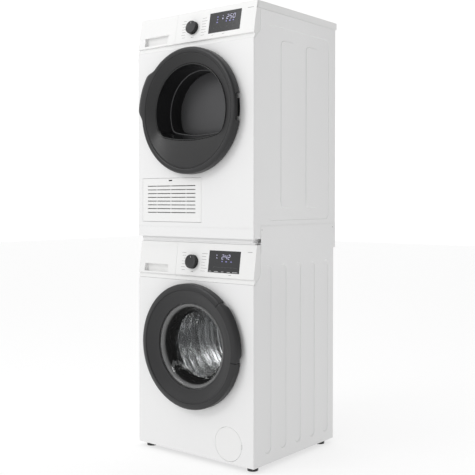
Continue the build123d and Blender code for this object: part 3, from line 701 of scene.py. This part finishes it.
# %% [markdown]
# ## Washer door ring
# One moulding: a narrow cylindrical rim, a rounded shoulder and a wide cone that falls
# back towards the glass. It is a skin of outlines, one for every degree and a half, so that
# the pocket of the handle is made by changing to a second outline over those degrees. A
# spun body with a boolean cut would do, but leaves ragged shading at the cut. The small
# window at the hinge is cut that way, since its edges are straight.
# %% Washer door ring
HANDLE_SPAN = (-9.5, 48.5)
RING_OUTLINE = [
    (243, -266), (243, -288.5), (242.4, -291.4), (240.8, -293.6), (238, -295.2), (230.5, -297.2),
    (222.6, -299.4), (220.3, -299.2), (218.9, -297.8), (217.8, -295.2), (196, -285.6), (173, -276.3),
    (168.3, -276), (168.3, -272.6), (173.5, -272.5), (217, -291.5), (235, -293), (239.5, -288),
    (239.5, -266), (243, -266),
]
POCKET_OUTLINE = [
    (217.5, -266), (217.5, -268), (217.5, -270), (217.5, -274), (217.5, -278), (217.5, -282),
    (217.5, -286), (217.5, -289), (217.5, -292), (217.4, -295), (196, -285.6), (173, -276.3),
    (168.3, -276), (168.3, -272.6), (173.5, -272.5), (215.6, -290.6), (215.6, -285), (215.6, -275),
    (215.6, -266), (217.5, -266),
]


def ring_angles(step, *marks):
    """Even angles round a ring, with every mark given twice for a sharp step there."""
    angles = [(step * i, 0) for i in range(int(360 / step) + 1)]
    for mark in marks:
        angles += [(mark % 360, -1), (mark % 360, 1)]
    return sorted(angles)


def in_handle(degrees, side):
    """Whether an angle lies over the handle; side tells which side of a step is meant."""
    start, end = HANDLE_SPAN
    turned_back = (degrees - start) % 360
    span = end - start
    if abs(turned_back) < 0.001 or abs(turned_back - 360) < 0.001:
        return side > 0
    if abs(turned_back - span) < 0.001:
        return side < 0
    return turned_back < span


rings = []
for degrees, side in ring_angles(1.5, *HANDLE_SPAN):
    outline = POCKET_OUTLINE if in_handle(degrees, side) else RING_OUTLINE
    rings.append([around(radius, y, degrees, WASHER_AXIS) for radius, y in outline])
washer_ring = settle(skin("washer_ring", rings), angle=24)
LUG_REACH = 0.0505       # half the height of the window that shows the hinge
window_low = (-0.248, -0.293, WASHER_AXIS - LUG_REACH)
window_high = (-0.226, -0.265, WASHER_AXIS + LUG_REACH)
hollowed(washer_ring, [(window_low, window_high)])
place(washer_ring, "washer_door", "dark_plastic", replaces=["washer_door_ring"])

# %% [markdown]
# ## Handle lever
# The lever closes the ring's pocket: the same rim carried on, standing a hair proud, with
# a lip that reaches outwards past the ring for the fingers. Its ends taper, so the lip
# grows out of the rim instead of starting at a step.
# %% Handle lever
LEVER_OUTLINE = [
    (218.8, -298), (220.4, -299.4), (222.6, -299.6), (230.5, -297.5), (238, -295.6), (243, -292.6),
    (248.5, -286), (254.2, -277.6), (254.4, -276), (252.4, -274.8), (245.5, -283.5),
    (239.5, -288.6), (234, -291.8), (226, -292.5), (218.8, -292),
]


def lever_ring(degrees):
    start, end = HANDLE_SPAN
    lip = eased((degrees - start) / 9) * eased((end - degrees) / 9)
    ring = []
    for radius, y in LEVER_OUTLINE + LEVER_OUTLINE[:1]:
        reach = max(radius - 243, 0) * (1 - lip)
        ring.append(around(radius - reach, y - 0.35 * reach, degrees, WASHER_AXIS))
    return ring


END_GAP = 0.6            # degrees between the lever's ends and the ring
LEVER_STEPS = 48
lever_start = HANDLE_SPAN[0] + END_GAP
lever_turn = (HANDLE_SPAN[1] - END_GAP - lever_start) / LEVER_STEPS
lever_rings = [lever_ring(lever_start + i * lever_turn) for i in range(LEVER_STEPS + 1)]
lever = skin("washer_lever", lever_rings)
edit(
    lever,
    lambda: bpy.ops.mesh.remove_doubles(threshold=0.00002),
    lambda: bpy.ops.mesh.fill_holes(sides=len(LEVER_OUTLINE) + 2),
)
lever = settle(lever, bevel=0.0004, angle=50)
place(lever, "washer_handle", "dark_plastic", replaces=["washer_door_handle"])

# %% [markdown]
# ## Glass bowl
# Pressed glass with soft shoulders. The outline has enough points for the shoulders to
# read as curves; the bowl is closed, with a real wall, so both of its faces reflect.
# %% Glass bowl
GLASS_OUTLINE = [
    (0, -183), (60, -183.8), (100, -186.6), (118, -190), (129, -195), (137, -203), (141, -213),
    (146, -240), (149.5, -258), (152, -265), (157, -270.5), (162, -272), (166, -272),
    (166, -267.2), (161, -267), (156, -263.5), (153.2, -256), (149.5, -238), (145.5, -211),
    (141, -197.5), (133, -188.5), (120, -183), (100, -180.6), (60, -178.6), (0, -178),
]
glass = settle(turned("washer_glass", GLASS_OUTLINE, WASHER_AXIS), angle=60)
place(glass, "washer_door", "door_glass", replaces=["washer_door_glass"])

# %% [markdown]
# ## Door gasket
# The bellows between the tub and the cabinet: a soft lip that the glass rests in, two
# folds behind it, and a thick bead at each end. It is spun from one outline.
# %% Door gasket
GASKET_OUTLINE = [
    (187.5, -256.5), (187.8, -250), (187.2, -243), (184, -237.5), (178.5, -233.5), (178.6, -230),
    (183.4, -225.5), (184.2, -221.5), (182.5, -217.5), (178.2, -213), (179.5, -209), (184.8, -206.4),
    (186, -203), (186, -196), (180, -196), (180, -201), (176, -205), (170.5, -210),
    (170, -213), (173.5, -218), (175.8, -222), (173.8, -226.5), (167, -232), (164, -236),
    (163, -243), (163.2, -250), (165.5, -254), (170, -256), (176, -256.8),
]
gasket = settle(turned("washer_gasket", GASKET_OUTLINE, WASHER_AXIS), angle=60)
place(gasket, "cabinet", "grey_rubber", replaces=["washer_door_gasket"])

# %% [markdown]
# ## A perforated sheet
# Water leaves the drum through some thousands of small holes. They are modelled, because
# their dark mouths and bright rims are what one sees through the glass. A sheet is laid
# out with a corner wherever a hole should be; bevelling a corner leaves small faces round
# it, and deleting those leaves the hole. The sheet gets its thickness last. Cutting each
# hole with a boolean would take minutes.
# %% A perforated sheet
HOLE = 4.4               # how far the bevel reaches from a hole's middle
SMALL_FACE = 3.3 * (HOLE / 1000) ** 2
SHEET_THICKNESS = 0.0008


def choose_corners(sheet, is_hole):
    """Selects the corners that is_hole accepts, and says how many there are."""
    only(sheet)
    bpy.ops.object.mode_set(mode="EDIT")
    bpy.ops.mesh.select_mode(type="VERT")
    bpy.ops.mesh.select_all(action="DESELECT")
    bpy.ops.object.mode_set(mode="OBJECT")
    for corner in sheet.data.vertices:
        corner.select = is_hole(corner.co)
    return sum(corner.select for corner in sheet.data.vertices)


def perforated(name, rings, is_hole):
    """A sheet with a round hole at every corner that is_hole accepts."""
    sheet = settle(skin(name, rings), merge=0.0001)
    count = choose_corners(sheet, is_hole)
    bpy.ops.object.mode_set(mode="EDIT")
    bpy.ops.mesh.bevel(offset=HOLE / 1000, segments=2, affect="VERTICES")
    bpy.ops.mesh.select_mode(type="FACE")
    bpy.ops.object.mode_set(mode="OBJECT")
    for face in sheet.data.polygons:
        face.select = face.area < SMALL_FACE
    bpy.ops.object.mode_set(mode="EDIT")
    bpy.ops.mesh.delete(type="FACE")
    bpy.ops.object.mode_set(mode="OBJECT")
    wall = sheet.modifiers.new("wall", "SOLIDIFY")
    wall.thickness = SHEET_THICKNESS
    wall.offset = -1
    bpy.ops.object.modifier_apply(modifier=wall.name)
    bpy.ops.object.shade_smooth_by_angle(angle=math.radians(35))
    print(name, "has", count, "holes")
    return sheet


print("a hole's reach:", HOLE, "mm")

# %% [markdown]
# ## Drum shell
# The cylinder of the drum. Its holes stand in staggered rows, so each odd row of corners
# is shifted by half a hole. Every fourth row is sunk by almost a millimetre, in place of
# the rolled beads that stiffen a real drum and break up its reflections.
# %% Drum shell
DRUM_RADIUS, DRUM_FRONT, DRUM_REAR = 234.4, -179.5, 159.5
COLUMNS = 132
ROWS = 30
PLAIN_END = 16           # unperforated band at each end
BEAD_DEPTH = 0.9


def shell_row(row):
    y = DRUM_FRONT + PLAIN_END + row * (DRUM_REAR - DRUM_FRONT - 2 * PLAIN_END) / ROWS
    radius = DRUM_RADIUS + min(BEAD_DEPTH * math.sin(row * math.pi / 2), 0)
    shift = 0.5 if row % 2 else 0.0
    turns = [(column + shift) * 360 / COLUMNS for column in range(COLUMNS + 1)]
    return [around(radius, y, turn, WASHER_AXIS) for turn in turns]


def in_shell(corner):
    return DRUM_FRONT + PLAIN_END + 4 < corner.y * 1000 < DRUM_REAR - PLAIN_END - 4


shell = perforated("drum_shell", [shell_row(row) for row in range(ROWS + 1)], in_shell)

# %% [markdown]
# ## Drum ends
# The front wall is turned, with a rolled mouth and a rounded shoulder. The rear wall is a
# second perforated sheet, laid in circles round the hub and swelling a little towards the
# inside; a turned rim joins it to the shell, and a turned hub covers the shaft. All of
# them are joined to the shell, since a drum is one welded piece.
# %% Drum ends
FRONT_WALL = [
    (176.5, -173), (176, -177), (178, -179.4), (184, -179.8), (214, -179.8), (224, -178.6),
    (231, -174.5), (234.4, -167), (234.4, -163), (233.6, -163), (233.4, -167), (230, -173.6),
    (223.5, -177.6), (214, -178.8), (184, -178.8), (178.6, -178), (177.4, -173),
]
REAR_RIM = [
    (216, 157.8), (224, 156.6), (231, 152), (234.4, 144), (234.4, 143), (233.4, 143),
    (230, 151), (223.4, 155.6), (216, 156.8),
]
HUB = [(0, 150), (20, 150.4), (30, 152), (41, 157), (46, 157.6), (46, 158.6), (0, 158.6)]


def rear_circle(step):
    radius = 40 + step * 16
    y = DRUM_REAR - 1.5 - 6 * math.exp(-((radius - 130) / 40) ** 2)
    shift = 0.5 if step % 2 else 0.0
    return [around(radius, y, (column + shift) * 5, WASHER_AXIS) for column in range(73)]


def in_rear_wall(corner):
    return 0.09 < math.hypot(corner.x, corner.z - WASHER_AXIS) < 0.21


front_wall = settle(turned("drum_front", FRONT_WALL, WASHER_AXIS), angle=60)
rear_wall = perforated("drum_rear", [rear_circle(step) for step in range(12)], in_rear_wall)
rear_rim = settle(turned("drum_rim", REAR_RIM, WASHER_AXIS), angle=60)
hub = settle(turned("drum_hub", HUB, WASHER_AXIS, 64), angle=60)
drum = joined("washer_drum_steel", [shell, front_wall, rear_wall, rear_rim, hub])
place(drum, "washer_drum", "stainless_steel", replaces=["washer_drum"])

# %% [markdown]
# ## Dryer door ring
# A narrow rim with a grip swelling out of it on the side away from the hinge. As on the
# washer, the rim is a skin of outlines, and the swelling is added to the outer points of
# each outline, eased in and out so that it has no kink.
# %% Dryer door ring
BUMP_HEIGHT = 18.0
DRYER_RING_OUTLINE = [
    (243, -266), (243, -291), (242.2, -294), (240.3, -297), (236.5, -299.4), (232, -299.8),
    (226, -298.9), (223.3, -298.2), (222.1, -296.8), (222.1, -293.2), (235, -296), (239.5, -291),
    (239.5, -266), (243, -266),
]


def bump(degrees):
    rise = eased((degrees - 134.5) / 11.5)
    fall = eased((187 - degrees) / 11)
    return BUMP_HEIGHT * rise * fall


def dryer_ring_outline(degrees):
    """The outline at this angle; only its outer points move out with the bump."""
    ring = []
    for radius, y in DRYER_RING_OUTLINE:
        share = min(max((radius - 232) / 8, 0), 1)
        ring.append(around(radius + bump(degrees) * share, y, degrees, DRYER_AXIS))
    return ring


rings = [dryer_ring_outline(1.5 * i) for i in range(241)]
dryer_ring = settle(skin("dryer_ring", rings), bevel=0.0004, angle=50)
window_low = (0.226, -0.293, DRYER_AXIS - LUG_REACH)
window_high = (0.248, -0.265, DRYER_AXIS + LUG_REACH)
hollowed(dryer_ring, [(window_low, window_high)])
place(dryer_ring, "dryer_door", "dark_plastic", replaces=["dryer_door_ring"])

# %% [markdown]
# ## Dryer door bowl
# The bowl is a deep shell whose outline is an arch: a circle with a nearly flat sill.
# The arch is measured along rays from its middle, as the smaller of the distances to the
# circle and to the sill, blended where the two are close; so all its outlines share the
# same rays and the skin never twists. A rolled lip closes the mouth, a second one marks
# the step half-way in, and a separate dull disc closes the end. The second lip is pale
# grey as a painted highlight; the disc's pale grey is partly its own tone and partly
# painted reflection.
# %% Dryer door bowl
RAYS = 144
SILL_RADIUS = 600


def arch(radius, flat, corner, degrees):
    """Distance from the middle to a circle cut off below by a much larger circle."""
    down = -math.sin(math.radians(degrees))
    above = SILL_RADIUS - flat
    sill = -above * down + math.sqrt((above * down) ** 2 + SILL_RADIUS ** 2 - above ** 2)
    near = max(1 - abs(radius - sill) / corner, 0)
    return min(radius, sill) - corner * near ** 2 / 4


def arch_ring(radius, flat, y, corner=18):
    angles = [i * 360 / RAYS for i in range(RAYS + 1)]
    return [around(arch(radius, flat, corner, a), y, a, DRYER_AXIS) for a in angles]


def pole(y):
    """An outline so small that its points merge into one, which closes a sheet's middle."""
    return arch_ring(0.005, 0.005, y, corner=0.001)


def bead(name, radius, flat, y, thickness):
    """A rolled lip that follows the arch."""
    rings = []
    for step in range(11):
        turn = step * math.tau / 10
        out = thickness * math.cos(turn)
        rings.append(arch_ring(radius + out, flat + out, y + thickness * math.sin(turn)))
    return settle(skin(name, rings), angle=80)


bowl_rings = [
    arch_ring(182, 112, -278.8), arch_ring(180, 110, -279.4), arch_ring(178.6, 108.6, -278.6),
    arch_ring(175.6, 104.5, -262), arch_ring(171.2, 98.6, -238), arch_ring(167, 92.8, -215),
    arch_ring(165.4, 90.6, -211), arch_ring(164.6, 89.7, -206), arch_ring(164, 89, -180),
    arch_ring(163.6, 88.6, -158), arch_ring(161.5, 86.5, -153.6), arch_ring(156, 81, -152.4),
    arch_ring(100, 50, -152.4), pole(-152.4), pole(-150.2),
    arch_ring(160, 85, -150.2), arch_ring(167.5, 92.5, -156), arch_ring(167.8, 92.8, -210),
    arch_ring(182.4, 112.4, -277), arch_ring(182, 112, -278.8),
]
bowl = settle(skin("bowl_shell", bowl_rings), angle=50)
edit(bowl, lambda: bpy.ops.mesh.delete_loose())
mouth_lip = bead("mouth_lip", 181, 111, -279.2, 1.3)
bowl = joined("dryer_bowl", [bowl, mouth_lip])
place(bowl, "dryer_door", "black_plastic", replaces=["dryer_door_bowl"])
# the step lip's pale grey is a painted highlight along its rolled edge
step_lip = bead("dryer_bowl_step", 163.9, 89.2, -210, 2.2)
place(step_lip, "dryer_door", "dark_plastic", finish="disc_plastic")
disc_rings = [
    arch_ring(159.5, 84.5, -152.2), arch_ring(159.5, 84.5, -153.2), arch_ring(158, 83, -154.2),
    arch_ring(110, 58, -155.2), pole(-155.6),
]
# the end disc's pale grey is partly its own tone and partly painted reflection
disc = settle(skin("dryer_bowl_disc", disc_rings), angle=50)
place(disc, "dryer_door", "dark_plastic", finish="disc_plastic")

# %% [markdown]
# ## Programme knobs
# Each knob is a shallow cap with a dished face, a pointer and a knurled band. The band is
# a skin whose outline steps in and out once per tooth; the cap is turned. All are made
# facing forwards at the origin, then leaned back with the fascia and moved to the joint.
# The cap's and the band's outlines are steps in from the knob's rim, so one list serves
# both sizes of knob; a cap point at 0 lies on the axis.
# %% Programme knobs
TEETH = 44
TOOTH_HEIGHT = 1.6
CAP = [
    (0, -0.6), (-0.8, -0.6), (-0.2, -1.4), (-0.2, -3), (-2.2, -3.4), (-2.2, -15.8), (-1.3, -16.4),
    (-1.5, -17.4), (-2.8, -18.2), (-4.2, -18.3), (-5.4, -17.8), (-14, -17.1), (0, -16.9),
]
BAND = [(3, -3.4), (1.2, -3.6), (0.8, -4.2), (0.8, -15), (1.3, -16), (3, -16.2)]
POINTER = [(-0.0176, 0.014), (-0.0179, 0.016), (-0.0181, 0.021)]


def fascia_plane(joint):
    """Where a knob sits: local -Y points out of the fascia, local Z up its slope."""
    out = Vector(joint["axis"])
    lean = math.atan2(out.z, -out.y)
    return Matrix.Translation(joint["pos_m"]) @ Matrix.Rotation(-lean, 4, "X")


def settled_at(piece, matrix):
    """Moves a piece and puts the move into its mesh."""
    only(piece)
    piece.matrix_world = matrix
    bpy.ops.object.transform_apply(location=True, rotation=True, scale=True)
    return piece


def knurled_band(name, radius):
    """The toothed band between the knob's foot and its face."""
    rings = []
    for inset, y in BAND:
        ring = []
        for step in range(TEETH * 4 + 1):
            tooth = (0, 1, 1, 0)[step % 4] if inset < 2 else 0
            angle = step * math.tau / (TEETH * 4)
            reach = (radius - inset - TOOTH_HEIGHT + TOOTH_HEIGHT * tooth) / 1000
            ring.append((reach * math.cos(angle), y / 1000, reach * math.sin(angle)))
        rings.append(ring)
    rings.append(rings[0])
    return settle(skin(name, rings), angle=25)


def pointer_line(name):
    """A thin raised line near the rim of the knob's face."""
    rows = [[(x, y, z) for x in (-0.0006, 0.0006)] for y, z in POINTER]
    line = skin(name, rows)
    wall = line.modifiers.new("wall", "SOLIDIFY")
    wall.thickness = 0.0004
    only(line)
    bpy.ops.object.modifier_apply(modifier=wall.name)
    return line


def knob(name, joint, radius, body, node):
    """A cap, a pointer and a knurled band, moved together to the joint."""
    outline = [(radius + inset if inset else 0, y) for inset, y in CAP]
    cap = settle(turned(name + "_cap", outline, 0, 96), angle=40)
    pointer = pointer_line(name + "_pointer")
    band = knurled_band(name + "_knurl", radius)
    matrix = fascia_plane(joint)
    for piece in (cap, pointer, band):
        settled_at(piece, matrix)
    place(cap, body, "dark_plastic", finish="knob_plastic", replaces=[node])
    place(pointer, body, "dark_plastic", finish="white_print")
    place(band, body, "dark_plastic", finish="knurl_metal")


knob("washer_dial", joints["washer_knob_turn"], 28, "washer_knob", "washer_program_knob")
knob("dryer_dial", joints["dryer_knob_turn"], 26, "dryer_knob", "dryer_program_knob")

# %% [markdown]
# ## Flat shapes and digits
# Prints and lit signs are thin raised shapes: bars, discs and the pointed bars of
# seven-segment digits, drawn with corners in millimetres. A texture would be lighter, but
# shapes stay sharp when seen close and need no image.
# %% Flat shapes and digits
def flat_shape(corners):
    """A thin shape with its corners at (x, z), facing forwards."""
    only()
    bpy.ops.mesh.primitive_circle_add(vertices=len(corners), radius=0.01, fill_type="NGON")
    shape = bpy.context.object
    for corner, (x, z) in zip(shape.data.vertices, corners):
        corner.co = (x / 1000, 0, z / 1000)
    return shape


def bar(x, z, width, height):
    """A bar with its lower left corner at (x, z)."""
    return flat_shape([(x, z), (x + width, z), (x + width, z + height), (x, z + height)])


SLANT = 0.12             # how far a digit leans to the right for each unit of height


def segment(x, z, length, upright, base, half=0.65):
    """One bar of a slanted seven-segment digit, pointed at both ends."""
    end = length - half
    near, far = half * 1.6, end - 0.6 * half
    points = [(half, 0), (near, -half), (far, -half), (end, 0), (far, half), (near, half)]
    corners = [(x - b, z + a) if upright else (x + a, z + b) for a, b in points]
    return flat_shape([(u + SLANT * (v - base), v) for u, v in corners])


LIT = {"0": "abcdef", "2": "abged", "4": "fgbc", "5": "afgcd"}


def digit(character, x, z, width=9.0, height=16.5):
    """A seven-segment digit with its lower left corner at (x, z)."""
    half = height / 2
    bars = {
        "a": (x, z + height, width, False), "g": (x, z + half, width, False), "d": (x, z, width, False),
        "f": (x, z + half, half, True), "b": (x + width, z + half, half, True),
        "e": (x, z, half, True), "c": (x + width, z, half, True),
    }
    return [segment(*bars[letter], z) for letter in LIT[character]]


def disc_sign(x, z, radius, sides=14):
    turns = [i * math.tau / sides for i in range(sides)]
    return flat_shape([(x + radius * math.cos(t), z + radius * math.sin(t)) for t in turns])


def printed_piece(name, shapes, matrix, finish, slot, lift):
    """Joins flat shapes into one raised print on a fascia."""
    piece = joined(name, shapes)
    film = piece.modifiers.new("film", "SOLIDIFY")
    film.thickness = 0.0001
    film.offset = 0
    bpy.ops.object.modifier_apply(modifier=film.name)
    settled_at(piece, matrix @ Matrix.Translation((0, -lift / 1000, 0)))
    place(piece, "cabinet", slot, finish=finish)


print("shapes: bar, disc_sign, digit")

# %% [markdown]
# ## Prints on the fascias
# The fascias carry small grey prints: a short line beside each programme, and a few marks.
# They stand in for lettering, which is left out. They are laid out from the knob's centre,
# in the plane of the fascia.
# %% Prints on the fascias
ROW_PITCH = 11.2         # between two programmes


def programme_marks(widths_left, widths_right, start):
    """Short lines on both sides of a knob, seven rows each, from the top."""
    shapes = []
    for row, (left, right) in enumerate(zip(widths_left, widths_right)):
        z = start - row * ROW_PITCH
        shapes += [bar(-39 - left, z, left, 1.1), bar(43, z - 0.6, right, 1.1)]
    return shapes


washer_marks = programme_marks((22, 18, 11, 20, 19, 22, 17), (29, 22, 24, 18, 20, 30, 22), 34)
washer_marks += [bar(-7, -39, 14, 1.6), bar(183, -43, 14, 1.3), bar(266, 46, 22, 1.6)]
dryer_marks = programme_marks((16, 22, 18, 20, 17, 21, 14), (22, 26, 20, 24, 21, 25, 18), 33)
dryer_marks += [bar(-7, -37, 14, 1.4), bar(98, -42, 10, 1.1)]
dryer_marks += [bar(150, -42, 12, 1.1), bar(262, 43, 28, 1.4)]
washer_matrix = fascia_plane(joints["washer_knob_turn"])
dryer_matrix = fascia_plane(joints["dryer_knob_turn"])
printed_piece("washer_print", washer_marks, washer_matrix, "grey_print", "white_plastic", 0.05)
printed_piece("dryer_print", dryer_marks, dryer_matrix, "grey_print", "white_plastic", 0.05)

# %% [markdown]
# ## Lit displays
# Each display shows a running time in slanted digits, a few dim signs round it and the
# marks of its touch keys below. They are laid out in millimetres from the window's upper
# left corner, a hair in front of the glass.
# %% Lit displays
def corner_of_display(joint, x, z, lean_matrix):
    """A matrix with its origin at the display's upper left corner."""
    knob_x, knob_z = joint["pos_m"][0] * 1000, joint["pos_m"][2] * 1000
    return lean_matrix @ Matrix.Translation(((x - knob_x) / 1000, 0, (z - knob_z) / 1000))


washer_corner = corner_of_display(joints["washer_knob_turn"], 73, 815.5, washer_matrix)
signs = digit("2", 63, -31) + digit("4", 78, -31) + digit("2", 93, -31)
signs += [disc_sign(76, -20, 0.7), disc_sign(75.4, -26, 0.7)]
signs += [disc_sign(39, -17, 1.6), bar(37, -29, 4, 1.6), bar(38, -26.5, 2, 1.2)]
printed_piece("washer_time", signs, washer_corner, "lit_segments", "display_glass", 0.06)
signs = [disc_sign(66.5, -40, 2.6), bar(83, -42, 8, 3.6), bar(106, -42, 9, 1.4), bar(107, -39.5, 7, 1.4)]
printed_piece("washer_signs", signs, washer_corner, "lit_signs", "display_glass", 0.06)
signs = [bar(26, -62, 112, 0.4)] + [bar(x, -66, 0.6, 4) for x in (26, 55, 84, 112, 138)]
printed_piece("washer_key_line", signs, washer_corner, "dim_print", "display_glass", 0.06)
signs = [bar(x, -80, width, 1.6) for x, width in ((4, 13), (31, 20), (66, 12), (94, 16), (120, 26))]
printed_piece("washer_keys", signs, washer_corner, "white_print", "display_glass", 0.06)

dryer_corner = corner_of_display(joints["dryer_knob_turn"], 74.5, 1717.4, dryer_matrix)
signs = digit("2", 84, -31) + digit("5", 100, -31) + digit("0", 115, -31)
signs += [disc_sign(98, -20, 0.7), disc_sign(97.4, -26, 0.7)]
signs += [disc_sign(66, -16, 1.4), bar(64, -30, 3.4, 5.5)]
printed_piece("dryer_time", signs, dryer_corner, "lit_segments", "display_glass", 0.06)
signs = [bar(37, -20, 6, 4), disc_sign(40, -28.5, 2.6), bar(37, -41, 6, 4)]
signs += [disc_sign(84, -39, 2.8), bar(98, -41.5, 7, 4.6), disc_sign(118, -39, 2.8)]
printed_piece("dryer_signs", signs, dryer_corner, "lit_signs", "display_glass", 0.06)
signs = [bar(x, -63, 0.8, 5) for x in (26, 61, 90, 119)]
printed_piece("dryer_keys", signs, dryer_corner, "dim_print", "display_glass", 0.06)
